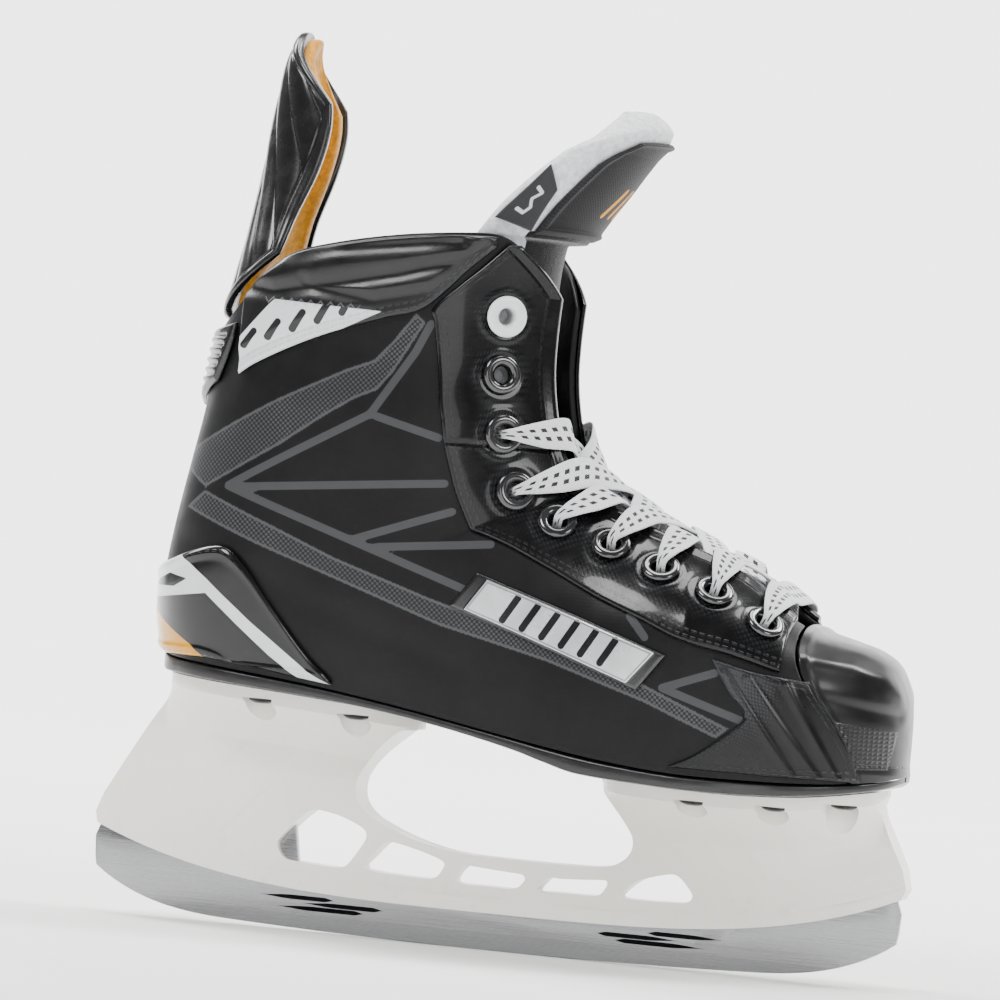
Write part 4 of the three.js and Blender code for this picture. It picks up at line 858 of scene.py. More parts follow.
def build_straps(size):
    """Stitched forefoot panels with a dotted grey patch and slanted ribs."""
    paint = Paint("forefoot_panel")
    fade = paint.attribute("fade")
    spot = paint.cloth(1.25, 40)
    dots = paint.math("LESS_THAN", paint.cells(spot), paint.math("MULTIPLY", fade, 0.62))
    base = paint.drifting(15, "060607", "0b0b0d")
    color = paint.blend(dots, base, "26272a")
    along = paint.math("ADD", paint.along(0),
                       paint.along(1))
    rows = paint.math("MAXIMUM", stitches(size, paint, paint.attribute("edge"), along, 1.8),
                      stitches(size, paint, paint.attribute("edge"), along, 3.8))
    paint.color(paint.blend(rows, color, "242528"))
    paint.uneven(7, 0.26, 0.4)
    paint.raise_by(rows, 0.35, 0.9)
    paint.raise_by(paint.cells(paint.cloth(0.9, 45)), 0.03, 0.4)
    material = paint.set(Specular_IOR_Level=0.22, Coat_Weight=0.15, Coat_Roughness=0.12).material
    for name, side in SIDES:
        t, g = crowded(110)[:, None], crowded(90)[None]
        level = mix(64.6, 96, t)
        x = mix(strap_rear(level), cap_border_x(level) + 2, g)
        z = mix(64.6, strap_top(x), t)
        base = over_side(x, z, side, SEAT)
        ribs = np.zeros_like(x)
        for a, b in (((76, 95), (98, 65)), ((83, 94), (106, 64)), ((94, 93), (111, 64))):
            ribs = ribs + 0.55 * bell(segment_distance(x, z, a, b), 1.1)
        height = SEAT + 0.2 + (LAYER - 0.35 + ribs) * rounded(edge_distance(base), 1.4)
        outer = over_side(x, z, side, height)
        near_cap = smooth(100, 76, x) * smooth(66, 90, z)
        obj = plate(f"forefoot_panel_{name}", outer, base, {"fade": near_cap})
        settle(obj, material, "strap_black", "root", f"vamp_strap_{name}")


collar_low = curve_of((-90, 172.5), (-82.5, 177.5), (-61.5, 187.8), (-41.5, 194.8), (-29.5, 199), (-16, 213),
                      (-9, 220))
# sewn channels between the collar's pads, and its white decal
CHANNELS = [
    [(-90, 201), (-78, 200), (-62, 203.5), (-38, 209), (-14, 216)],
    [(-88, 206), (-76, 211), (-60, 215), (-20, 220.5)], [(-68, 203), (-46, 199.5), (-30, 203)],
]
DECAL = [(-77, 197.6), (-43, 196.6), (-60, 187.8), (-77, 178.3), (-91, 170.8), (-98.5, 166), (-90, 182)]


def build_collars(size):
    """Padded ankle collar: pads that crown between sewn channels, a zigzag row and a pale decal."""
    paint = Paint("collar_pads")
    pebble = paint.cells(paint.scaled(0.8), 1.0, feature="SMOOTH_F1")
    base = paint.drifting(13, "060607", "0b0b0d")
    zigzag = paint.math("SUBTRACT", paint.attribute("level"),
                        paint.math("MULTIPLY", paint.math("PINGPONG", paint.part(paint.scaled(1), 0), 1.6), 1.1))
    thread = paint.ramp(paint.math("ABSOLUTE", zigzag), 0.25, 0.5, 1.0, 0.0)
    thread = paint.math("MULTIPLY", thread, paint.ramp(paint.part(paint.scaled(1), 0), -81.5, -80.5))
    thread = paint.math("MULTIPLY", thread, paint.ramp(paint.part(paint.scaled(1), 0), -50.5, -49.5, 1.0, 0.0))
    along = paint.along(1)
    rows = paint.math("MAXIMUM", stitches(size, paint, paint.attribute("low"), along, 1.6),
                      stitches(size, paint, paint.attribute("low"), along, 3.4))
    color = paint.blend(rows, base, "242528")
    color = paint.blend(thread, color, "4a4b50")
    decal = paint.inside("decal")
    bars = paint.inside("bars", 0.1)
    white = paint.blend(bars, "d3d5d8", "18181a")
    paint.color(paint.blend(decal, color, white))
    paint.uneven(6, 0.28, 0.42)
    paint.raise_by(pebble, 0.05, 0.7)
    paint.raise_by(paint.math("MAXIMUM", rows, thread), 0.35, 0.9)
    material = paint.set(Specular_IOR_Level=0.35, Coat_Weight=0.2, Coat_Roughness=0.15).material
    for name, side in SIDES:
        x = np.linspace(-88.5, -9.5, 240)[:, None]
        g = crowded(80)[None]
        top = collar_top_z(x) - 0.6
        z = mix(np.minimum(collar_low(x), top - 1), top, g)
        x = np.broadcast_to(x, z.shape)
        base = over_side(x, z, side, SEAT)
        low = spans(base)[0]
        channel = np.min([line_distance(x, z, *line) for line in CHANNELS], axis=0)
        pads = 1.3 * (1 - bell(channel, 2.6)) * smooth(3.5, 8, low)
        height = SEAT + 0.2 + (LAYER - 0.4 + pads) * rounded(edge_distance(base), 2.2)
        outer = over_side(x, z, side, height)
        decal = outline_distance(x, z, DECAL)
        bars = np.full_like(x, 9.0)
        for k in range(5):
            a = (-86 + 7.6 * k, 182.4 + 3.2 * k)
            bars = np.minimum(bars, segment_distance(x, z, a, (a[0] + 3.2, a[1] + 4.6 + 0.4 * k)) - 1.1)
        obj = plate(f"collar_pads_{name}", outer, base,
                    {"low": low, "decal": decal, "bars": bars, "level": z - 196.4})
        settle(obj, material, "collar_black", "root", f"collar_{name}")


def build_toe_cap(size):
    """Moulded cap with a rounded ridge over its top, a raised rear rim and a patch of fine grid."""
    v = np.concatenate([-np.linspace(2, 0, 140, endpoint=False), np.linspace(0, 2, 141)])
    side, girth = np.where(v < 0, -1, 1), np.abs(v)
    across = np.arcsin(np.clip(1 - border_section(lambda s: girth), -1, 1))
    t = np.linspace(0, 1, 150)[:, None]
    s = np.maximum(1 - np.sin(mix(across, math.pi / 2, t)), 0)
    girth, side = np.broadcast_to(girth, s.shape), np.broadcast_to(side, s.shape)

    def cap(height):
        point = boot_point(s, girth, side)
        normal = boot_normal(np.maximum(s, 0.004), np.maximum(girth, 0.01), side)
        point = point + normal * np.asarray(height)[..., None]
        point[..., 1] = np.where((t == 1) | (girth < 0.01), 0, point[..., 1])
        return point
    flat = cap(np.zeros(s.shape))
    x, z = flat[..., 0], flat[..., 2]
    rim = spans(flat)[1]
    ridge = 0.7 * bell(line_distance(x, z, (97, 101), (112, 99.4), (121, 96.5), (127, 90)), 2.0)
    dent = -0.5 * bell(line_distance(x, z, (101, 90), (126, 85.5)), 2.2)
    lip = 0.5 * bell(rim - 2.5, 1.5)
    foot = 0.4 * smooth(70.5, 67, z)
    outer = cap((ridge + dent) * smooth(6, 14, np.abs(flat[..., 1])) + lip + foot)
    patch = outline_distance(x, z, [(105, 68), (124, 69), (126, 81), (108, 83)])
    paint = Paint("toe_cap_satin")
    paint.color(paint.drifting(18, "060607", "0b0b0c"))
    paint.uneven(8, 0.3, 0.42)
    grid = paint.lattice("MAXIMUM", 1.3)
    inside = paint.ramp(paint.attribute("patch"), -0.4, 0.2, 1.0, 0.0)
    paint.raise_by(paint.math("MULTIPLY", grid, inside), 0.25, 0.9)
    row = stitches(size, paint, paint.attribute("foot"), paint.part(paint.scaled(1), 0), 0.0)
    paint.raise_by(row, 0.4, 0.9)
    paint.raise_by(paint.noise(paint.scaled(0.4)), 0.02, 0.5)
    material = paint.set(Specular_IOR_Level=0.3, Coat_Weight=0.2, Coat_Roughness=0.2).material
    obj = plate("toe_cap_shell", outer, cap(np.full(s.shape, -CAP_WALL)), {"patch": patch, "foot": z - 70}, True)
    settle(obj, material, "cap_black", "root", "toe_cap")


COUNTER_FRONT = -50
counter_top = curve_of((0, 110.5), (0.3, 114), (0.58, 119.6), (0.68, 115), (0.8, 102), (0.92, 88), (1, 80.8))


def wrap_round(z, k, front_x, height):
    """Places round the back: k from -1 to 1 runs from the outer side over the back seam to the inner side,
    with x = back + (front - back) (1 - cos(k pi/2))."""
    side = np.where(k < 0, -1, 1)
    x = back_x(z) + 0.02 + (front_x - back_x(z)) * (1 - np.cos(np.abs(k) * math.pi / 2))
    point = over_side(x, z, side, height)
    point[..., 1] = np.where(np.abs(k) < 1e-9, 0, point[..., 1])
    return point


def build_heel_counter(size):
    """Glossy heel cup with a pale chevron, a gold wedge at its foot and a rolled upper edge."""
    k = np.linspace(-1, 1, 301)[None]
    m = crowded(110)[:, None]
    a = np.abs(k)
    low = np.maximum(84.9, sole_z(mix(-112, COUNTER_FRONT, 1 - np.cos(k * math.pi / 2))) + 0.9)
    lowest = np.where(a > 0.5, mix(low, 79.6, (a - 0.5) * 2), low)
    z = mix(lowest, counter_top(a), m)
    k = np.broadcast_to(k, z.shape)
    base = wrap_round(z, k, COUNTER_FRONT, SEAT)
    x = base[..., 0]
    swell = 0.5 * bell(edge_distance(base) - 2.4, 1.3)
    height = SEAT + 0.2 + (LAYER - 0.35 + swell) * rounded(edge_distance(base), 1.5)
    outer = wrap_round(z, k, COUNTER_FRONT, height)
    chevron = outline_distance(x, z, [(-116, 108), (-103, 116.3), (-92, 109), (-76, 96.5), (-58, 83.5), (-48, 78.6),
                                      (-57, 78.6), (-70, 87), (-92, 104.6), (-116, 101)])
    wedge = outline_distance(x, z, [(-116, 105.2), (-106, 109.6), (-99, 108.4), (-104, 105.6)])
    gold = outline_distance(x, z, [(-116, 101), (-111, 97), (-104, 92.5), (-96, 88), (-89, 83), (-89, 77),
                                   (-116, 77)])
    paint = Paint("heel_cup_gloss")
    white = paint.inside("chevron")
    notch = paint.inside("wedge")
    warm = paint.inside("gold")
    drift = paint.noise(paint.scaled(14), detail=4)
    color = paint.blend(paint.ramp(drift, 0.3, 0.7), "040405", "09090a")
    color = paint.blend(white, color, paint.blend(drift, "c3c6ca", "dfe1e3"))
    color = paint.blend(paint.math("MULTIPLY", notch, white), color, "161618")
    paint.color(paint.blend(warm, color, paint.blend(drift, "bd7f04", size.colors.heel)))
    paint.uneven(6, 0.14, 0.26)
    paint.raise_by(paint.noise(paint.scaled(3), detail=4), 0.04, 0.4)
    row = stitches(size, paint, paint.attribute("edge"), paint.part(paint.scaled(1), 0), 2.4)
    paint.raise_by(row, 0.3, 0.8)
    material = paint.set(Specular_IOR_Level=0.3, Coat_Weight=0.35, Coat_Roughness=0.06).material
    obj = plate("heel_cup", outer, base, {"chevron": chevron, "wedge": wedge, "gold": gold})
    settle(obj, material, "counter_gloss", "root", "heel_counter")


def build_badges(size):
    """Raised side badges: a bright plate with rounded ends in a black frame, crossed by slanted bars."""
    paint = Paint("badge_plate", 0.22)
    plate_in = paint.inside("plate", 0.1)
    bars = paint.inside("bars", 0.1)
    line = paint.ramp(paint.math("ABSOLUTE", paint.attribute("frame")), 0.15, 0.35, 1.0, 0.0)
    sweep = paint.noise(paint.scaled(11), detail=3)
    bright = paint.blend(sweep, "b9bfc2", "e3e7e8")
    color = paint.blend(plate_in, "131315", paint.blend(bars, bright, "17171a"))
    paint.color(paint.blend(line, color, "8d9092"))
    paint.feed(paint.shader.inputs["Metallic"], paint.math("MULTIPLY", plate_in, 0.45))
    paint.rough(paint.ramp(sweep, 0.25, 0.8, 0.18, 0.34))
    paint.raise_by(plate_in, 0.3, 0.6)
    material = paint.set(Coat_Weight=0.5, Coat_Roughness=0.1).material
    corners = np.array([(-14, 107.5), (-6, 118.5), (57, 98.5), (48.5, 87)])
    middle = corners.mean(0)
    inside = [tuple(middle + (c - middle) * w) for c, w in zip(corners, (0.86, 0.87, 0.9, 0.88))]
    for name, side in SIDES:
        t, g = crowded(70)[:, None], crowded(220, 0.3)[None]
        x = mix(mix(corners[0, 0], corners[3, 0], g), mix(corners[1, 0], corners[2, 0], g), t)
        z = mix(mix(corners[0, 1], corners[3, 1], g), mix(corners[1, 1], corners[2, 1], g), t)
        base = over_side(x, z, side, SEAT)
        panel = outline_distance(x, z, inside)
        bars = slanted_bars(x, z, 6, (3.5, 104.6), (6.6, -2.05), (4.4, 7.2), 1.15)
        height = SEAT + 0.1 + (1.0 - 0.35 * smooth(-0.2, 0.3, panel)) * rounded(edge_distance(base), 1.2)
        outer = over_side(x, z, side, height)
        obj = plate(f"side_badge_{name}", outer, base, {"plate": panel, "frame": panel + 0.6, "bars": bars})
        settle(obj, material, "badge_silver", "root", f"badge_{name}")


def build_linings(size):
    """Brushed microfibre lining inside each wall, seen through the collar."""
    material = felt("ankle_lining", "121316", "222327", 0.12).material
    g = np.linspace(0.7, 2, 70)
    for name, side in SIDES:
        girth_at = lambda s: np.maximum(girth_of(s, 0.27), g)
        s = section_rows(np.full_like(g, 0.62), top_section(girth_at) - 0.04, 140)
        v = girth_at(s)
        for _ in range(40):
            at = boot_point(s, v, side)
            floor = sole_z(np.clip(at[..., 0], -109, 120)) + BOARD + 4 * GAP
            v = np.where(at[..., 2] < floor, v - 0.01, v)
        depth = -(WALL + 2 * SEAT)
        squeeze = 0.3 * LINING * (1 - rounded(edge_distance(boot_offset(s, v, side, depth)), 1.6))
        outer = boot_offset(s, v, side, depth - squeeze)
        inner = boot_offset(s, v, side, depth - LINING + squeeze)
        obj = plate(f"ankle_pad_{name}", outer, inner)
        settle(obj, material, "liner_fabric", "root", f"ankle_lining_{name}")


# ---------------------------------------------------------------- eyelets and lace
def seat_rise(s, v, side):
    """How far the surface rises above its tangent plane round an eyelet's rim."""
    point, normal = boot_point(s, v, side), boot_normal(s, v, side)
    step = 0.004
    per_s = np.linalg.norm(boot_point(s + step, v, side) - point) / step
    per_v = np.linalg.norm(boot_point(s, v + step, side) - point) / step
    angle = np.arange(12) * math.pi / 6
    round_rim = boot_point(s + EYELET_RIM * np.cos(angle) / per_s, v + EYELET_RIM * np.sin(angle) / per_v, side)
    return max(0.0, float(np.max((round_rim - point) @ normal)))


def build_eyelets(size):
    """Rolled metal eyelets; the top one on each side is a wide pale ring."""
    black = Paint("eyelet_enamel", 0.18)
    black.color(black.blend(black.noise(black.scaled(4)), "0b0b0c", "1d1d1f"))
    black.raise_by(black.noise(black.scaled(1.2)), 0.02, 0.4)
    black = black.set(Coat_Weight=0.9, Coat_Roughness=0.05).material
    white = Paint("eyelet_ring", 0.25)
    white.color(white.blend(white.noise(white.scaled(5)), "cfd3d5", "eceeef"))
    white.raise_by(white.noise(white.scaled(1.5)), 0.02, 0.4)
    white = white.set(Coat_Weight=0.5, Coat_Roughness=0.1).material
    for name, side in SIDES:
        for i, (s, v) in enumerate(zip(*eyelet_places(side))):
            over = EYELET_OVER + seat_rise(s, v, side)
            rim, crown = (EYELET_RIM + 0.4, 1.2) if i == 0 else (EYELET_RIM, 1.2)
            bead = [(EYELET_BORE + 0.35 + (rim - EYELET_BORE - 0.35) * (1 - math.cos(a)) / 2,
                     over + 0.1 + crown * math.sin(a) ** 0.8) for a in np.linspace(0.35, math.pi - 0.02, 14)]
            profile = [(EYELET_BORE, EYELET_UNDER - 0.9), (EYELET_BORE, over + 0.1)] + bead
            profile += [(rim, over), (EYELET_BARREL, over), (EYELET_BARREL, EYELET_UNDER),
                        (EYELET_BARREL + 0.8, EYELET_UNDER), (EYELET_BARREL + 0.8, EYELET_UNDER - 0.9)]
            rings = stand_on(lathe(profile, 36), boot_point(s, v, side), boot_normal(s, v, side))
            obj = ring_loft(f"eyelet_{name}_{i + 1}", rings, closed=True)
            settle(obj, white if i == 0 else black, "eyelet_white" if i == 0 else "eyelet_black", "root",
                   f"{name}_eyelet_{i + 1}")


LACE_WIDTH, LACE_THICKNESS, LACED_FROM, BORE_WIDTH = 11, 1.2, 2, 2.8
LACE_HALF = LACE_THICKNESS / 2
LACE_OVER = EYELET_OVER + 1.2 + GAP + LACE_HALF
LACE_UNDER = EYELET_UNDER - 1 - GAP - LACE_HALF
LACE_EDGE = SEAT + LAYER + GAP + LACE_HALF


def gap_point(s, u, height):
    """Lace point over the gap, u from the middle."""
    side = -1 if u < 0 else 1
    v = np.maximum(girth_at_width(s, abs(u)), 0.004)
    point = boot_point(s, v, side) + boot_normal(s, np.maximum(v, 0.012), side) * height
    if u == 0:
        point[1] = 0
    return point


def eyelet_point(place, side, share, height):
    s, v = place[:2]
    v = mix(v, edge_girth(s), share)
    return boot_point(s, v, side) + boot_normal(s, v, side) * height


def strand(below, above, side, over):
    """From an eyelet's bore, under the facing, up through the gap and down into the eyelet opposite."""
    lift = (0.6, 1.6, 3) if over else (-2, -1.4, -0.8)
    section = lambda u: mix(below[0], above[0], (1 - u * side / FACING_HALF_GAP) / 2)
    wide = LACE_WIDTH
    rise = above[2]
    return [
        (eyelet_point(below, side, 0, LACE_UNDER + 1.2), BORE_WIDTH),
        (eyelet_point(below, side, 0.14, LACE_UNDER - 0.3), BORE_WIDTH),
        (eyelet_point(below, side, 0.6, LACE_UNDER), wide * 0.8),
        (gap_point(below[0], side * (FACING_HALF_GAP - 1), LACE_UNDER + 1), wide),
        (gap_point(section(side * 10), side * 10, lift[0]), wide),
        (gap_point(section(0), 0, lift[1]), wide),
        (gap_point(section(-side * 10), -side * 10, lift[2]), wide),
        (gap_point(above[0], -side * (FACING_HALF_GAP - 1), LACE_EDGE + 1), wide),
        (eyelet_point(above, -side, 0.55, LACE_OVER + rise + 0.4), wide * 0.8),
        (eyelet_point(above, -side, 0.2, LACE_OVER + rise + 0.9), wide * 0.45),
        (eyelet_point(above, -side, 0.03, LACE_OVER + rise + 0.3), BORE_WIDTH),
        (eyelet_point(above, -side, 0, 1), BORE_WIDTH),
    ]


def lace_route():
    """Points and widths of the lace: one end beside the tongue, down through the rows, across the lowest
    bar and back up to the other end."""
    sites = {side: [(s, v, seat_rise(s, v, side)) for s, v in zip(*eyelet_places(side))] for _, side in SIDES}
    last = EYELET_COUNT - 1

    def half(start):
        points, side = [], start
        for row in range(last, LACED_FROM, -1):
            points += strand(sites[side][row], sites[-side][row - 1], side, start > 0)
            side = -side
        end = sites[side][LACED_FROM]
        points.append((eyelet_point(end, side, 0, LACE_UNDER + 1.2), BORE_WIDTH))
        points.append((eyelet_point(end, side, 0.14, LACE_UNDER - 0.5), BORE_WIDTH))
        for s in (end[0] + 0.1, end[0] + 0.22, end[0] + 0.34):
            points.append((eyelet_point((s, end[1]), side, 0.45, LACE_UNDER - 0.4), LACE_WIDTH * 0.57))
        return points

    def half_bar(place, side):
        rise = place[2]
        return [
            (eyelet_point(place, side, 0, 1), BORE_WIDTH),
            (eyelet_point(place, side, 0.03, LACE_OVER + rise), BORE_WIDTH),
            (eyelet_point(place, side, 0.2, LACE_OVER + rise + 0.7), LACE_WIDTH * 0.5),
            (eyelet_point(place, side, 0.55, LACE_OVER + rise + 0.4), LACE_WIDTH * 0.8),
            (gap_point(place[0], side * (FACING_HALF_GAP - 1), LACE_EDGE + 1), LACE_WIDTH),
        ]
    left, right = sites[-1][last], sites[1][last]
    middle = [(gap_point(left[0], 0, 2), LACE_WIDTH)]
    return half(-1)[::-1] + half_bar(left, -1) + middle + half_bar(right, 1)[::-1] + half(1)


def fine_curve(points, per_span):
    """Centripetal Catmull-Rom curve: knots spaced by the square root of the chord (Barry and Goldman)."""
    pts = np.concatenate([2 * points[:1] - points[1:2], points, 2 * points[-1:] - points[-2:-1]])
    p0, p1, p2, p3 = pts[:-3], pts[1:-2], pts[2:-1], pts[3:]
    k1 = np.maximum(np.linalg.norm(p1 - p0, axis=1) ** 0.5, 1e-3)[:, None, None]
    k2 = k1 + np.maximum(np.linalg.norm(p2 - p1, axis=1) ** 0.5, 1e-3)[:, None, None]
    k3 = k2 + np.maximum(np.linalg.norm(p3 - p2, axis=1) ** 0.5, 1e-3)[:, None, None]
    t = mix(k1, k2, np.linspace(0, 1, per_span, endpoint=False)[None, :, None])
    p0, p1, p2, p3 = (p[:, None] for p in (p0, p1, p2, p3))
    a1 = (k1 - t) / k1 * p0 + t / k1 * p1
    a2 = (k2 - t) / (k2 - k1) * p1 + (t - k1) / (k2 - k1) * p2
    a3 = (k3 - t) / (k3 - k2) * p2 + (t - k2) / (k3 - k2) * p3
    b1 = (k2 - t) / k2 * a1 + t / k2 * a2
    b2 = (k3 - t) / (k3 - k1) * a2 + (t - k1) / (k3 - k1) * a3
    curve = (k2 - t) / (k2 - k1) * b1 + (t - k1) / (k2 - k1) * b2
    return np.concatenate([curve.reshape(-1, 3), points[-1:]])


def build_lace(size):
    """Flat woven lace with a soft oval section, herringbone weave and two rows of dark flecks."""
    route = lace_route()
    knots = np.array([p for p, _ in route])
    widths = np.array([w for _, w in route])
    per_span = 9
    centre = fine_curve(knots, per_span)
    place = np.linspace(0, len(knots) - 1, len(centre))
    half = np.interp(place, np.arange(len(knots)), widths) / 2
    half = np.convolve(np.pad(half, 6, mode="edge"), np.ones(13) / 13, mode="valid")
    tangent = unit(np.gradient(centre, axis=0))
    s = locate(centre[:, 0], centre[:, 2])[0]
    side = np.where(centre[:, 1] < 0, -1, 1)
    v = girth_at_width(s, np.minimum(np.abs(centre[:, 1]), half_width_of(s) * 0.98))
    across = boot_point(s + 0.01, v, side) - boot_point(s - 0.01, v, side)
    across = unit(across - tangent * np.sum(across * tangent, axis=1, keepdims=True))
    kernel = np.ones(9) / 9
    across = unit(np.stack([np.convolve(np.pad(c, 4, mode="edge"), kernel, mode="valid") for c in across.T], axis=1))
    up = np.cross(across, tangent)
    turn = np.linspace(0, 2 * math.pi, 28, endpoint=False)
    a = np.sign(np.cos(turn)) * np.abs(np.cos(turn)) ** 0.55
    b = np.sign(np.sin(turn)) * np.abs(np.sin(turn)) ** 0.75
    thick = LACE_HALF * (1 + 0.5 * smooth(4, 1.6, half))
    rings = (centre[:, None] + across[:, None] * (half[:, None] * a)[..., None]
             + up[:, None] * (thick[:, None] * b)[..., None])
    run = np.concatenate([[0], np.cumsum(np.linalg.norm(np.diff(centre, axis=0), axis=1))])
    cloth = np.stack([np.broadcast_to(a * size.lace_width / 2 / MM, half[:, None].shape[:1] + a.shape),
                      np.broadcast_to(run[:, None], (len(run), len(a))), np.zeros((len(run), len(a)))], axis=-1)
    obj = ring_loft("flat_lace", rings, {"cloth": cloth.reshape(-1, 3)})
    paint = Paint("woven_lace", 0.9)
    u, w = (paint.along(k) for k in (0, 1))
    slope = paint.math("ABSOLUTE", u)
    braid = paint.wave(paint.math("DIVIDE", paint.math("ADD", w, slope), 1.1))
    cord = paint.wave(paint.math("DIVIDE", u, 0.9))
    row = paint.ramp(paint.math("ABSOLUTE", paint.math("SUBTRACT", slope, 1.7)), 0.7, 0.95, 1.0, 0.0)
    lean = paint.math("MULTIPLY_ADD", u, 0.5, w)
    beat = paint.ramp(paint.wave(paint.math("DIVIDE", lean, 4.4)), 0.5, 0.58)
    flecks = paint.math("MULTIPLY", row, beat)
    soil = paint.noise(paint.scaled(5), detail=4)
    shade = paint.math("MULTIPLY_ADD", soil, 0.5, paint.math("MULTIPLY", braid, 0.5))
    paint.color(paint.blend(flecks, paint.blend(shade, "d2d3d8", size.colors.lace), "121216"))
    paint.raise_by(paint.math("MULTIPLY_ADD", cord, 0.4, braid), 0.22, 0.9)
    paint.raise_by(paint.noise(paint.scaled(0.4)), 0.08, 0.6)
    material = paint.set(Sheen_Weight=0.3, Sheen_Roughness=0.4).material
    settle(obj, material, "lace_white", "root", "lace")


# ---------------------------------------------------------------- tongue
tongue_front_x = curve_of((224, 11.5), (232, 16.5), (240, 22), (247, 26.5), (253, 30.5), (258, 33.5))
tongue_reach = curve_of((224, 83), (238, 80), (250, 70), (260, 56), (270, 34))
TONGUE_A, TONGUE_B, LIP = 33, 31, 11


def tongue_grid(t, c, outer_face, shift):
    """Free part of the tongue: t rises from the fold to the lip and c runs across; a level row is the arc
    (front - A + a cos, b sin) of an ellipse, and the lip curls forward above 252 mm."""
    z = mix(TONGUE_SPLIT, 269, t)
    curl = np.clip((z - 252) / 17, 0, 1)
    thick = mix(TONGUE_THICKNESS + 1.5, LIP, np.clip((z - 228) / 22, 0, 1))
    reach = np.radians(tongue_reach(z) * c)
    front = tongue_front_x(np.minimum(z, 258)) + 3.4 * curl
    inward = -shift if outer_face else thick - shift
    x = front - TONGUE_A + (TONGUE_A - inward) * np.cos(reach)
    lift = -4 * np.sin(reach) ** 2 * curl
    drop = -7 * curl**2 if outer_face else 0
    return np.stack([x, (TONGUE_B - inward) * np.sin(reach), z + lift + drop], axis=-1)


def build_tongue(size):
    """Thick white felt in one piece, from over the toes, under the laces and up to the curled lip."""
    fold = 2 + (TONGUE_SPLIT - 3.5 - PIVOT_Z) / RISE
    s = np.linspace(0.6, fold, 150)[:, None]
    c = crowded(90, 0.7)[None] * 2 - 1
    side, a = np.where(c < 0, -1, 1), np.abs(c)
    reach = mix(0.5, 0.7, np.clip((s - 0.6) / 1.2, 0, 1))
    v = np.maximum(a * reach, 0.004)
    s = np.broadcast_to(s, v.shape)
    side = np.broadcast_to(side, v.shape)

    def lower(height):
        point = boot_point(s, v, side) + boot_normal(s, np.maximum(v, 0.012), side) * height
        point[..., 1] = np.where(a < 1e-9, 0, point[..., 1])
        return point
    t = np.linspace(0, 1, 110)[:, None]
    c_up = np.broadcast_to(c, (110, c.shape[1]))
    sheets = []
    for outer_face, depth in ((True, -TONGUE_DEPTH), (False, -TONGUE_DEPTH - TONGUE_THICKNESS)):
        low = lower(depth)
        high = tongue_grid(t, c_up, outer_face, 0)
        bridge_t = np.linspace(0, 1, 14)[1:-1, None, None]
        slope_low, slope_high = (low[-1] - low[-6]) * 1.2, (high[5] - high[0]) * 1.2
        b = bridge_t
        bridge = ((2 * b**3 - 3 * b**2 + 1) * low[-1] + (b**3 - 2 * b**2 + b) * slope_low
                  + (3 * b**2 - 2 * b**3) * high[0] + (b**3 - b**2) * slope_high)
        sheets.append(np.concatenate([low, bridge, high]))
    outer, inner = sheets
    edge = edge_distance((outer + inner) / 2)
    squeeze = 0.5 * (1 - rounded(edge, 4.5))[..., None]
    outer, inner = mix(outer, inner, squeeze * 0.92), mix(inner, outer, squeeze * 0.92)
    wander = np.sin(outer[..., 0] * 0.21 + outer[..., 2] * 0.13) * np.sin(outer[..., 1] * 0.17) * 0.25
    outer = outer + wander[..., None] * unit(outer - inner)
    cover = smooth(0.69, 0.66, np.abs(c)) * smooth(226.2, 225.4, outer[..., 2])
    obj = plate("felt_tongue", outer, inner, {"cover": cover})
    obj.data.materials.append(felt("tongue_felt", "c4c5cb", "ecedf0", 0.4, covered=True).material)
    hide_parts("tongue_lower", "tongue_upper")
    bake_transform(obj)


def build_tongue_face(size):
    """Black nylon panel on the tongue with a piped border and slanted generic bars."""
    t = mix(0.02, 0.76, crowded(150)[:, None])
    c = (crowded(110)[None] * 2 - 1) * 0.64
    arch = 1 - 0.16 * smooth(0.55, 0.76, t)
    c = np.broadcast_to(c, (t.shape[0], c.shape[1])) * arch
    t = np.broadcast_to(t, c.shape) - 0.04 * smooth(0.3, 0.76, t) * (np.abs(c) / 0.64) ** 2
    base = tongue_grid(t, c, True, SEAT)
    edge = edge_distance(base)
    pipe = 0.9 * bell(edge - 1.6, 1.0)
    outer = tongue_grid(t, c, True, SEAT + 0.15 + (1.05 + pipe) * rounded(edge, 1.5))
    y, height = base[..., 1], base[..., 2]
    bars = slanted_bars(y, height, 4, (-8.6, 233), (5.2, 0), (3.4, 8), 0.95)
    obj = plate("tongue_panel", outer, base, {"bars": bars, "rim": edge})
    paint = Paint("tongue_nylon", 0.7)
    threads = paint.weave(0.8, 45)
    piping = paint.ramp(paint.attribute("rim"), 2.7, 3.1, 1.0, 0.0)
    ribs = paint.wave(paint.math("DIVIDE", paint.along(1), 1.2))
    nylon = paint.blend(threads, "050506", "0c0c0e")
    binding = paint.blend(ribs, "0b0b0d", "1d1d20")
    color = paint.blend(piping, nylon, binding)
    print_on = paint.inside("bars")
    paint.color(paint.blend(print_on, color, "c98a10"))
    paint.raise_by(threads, 0.12, 0.8)
    paint.raise_by(print_on, 0.25, 0.8)
    material = paint.set(Specular_IOR_Level=0.3, Sheen_Weight=0.08).material
    settle(obj, material, "tongue_nylon", "tongue", "tongue_face")


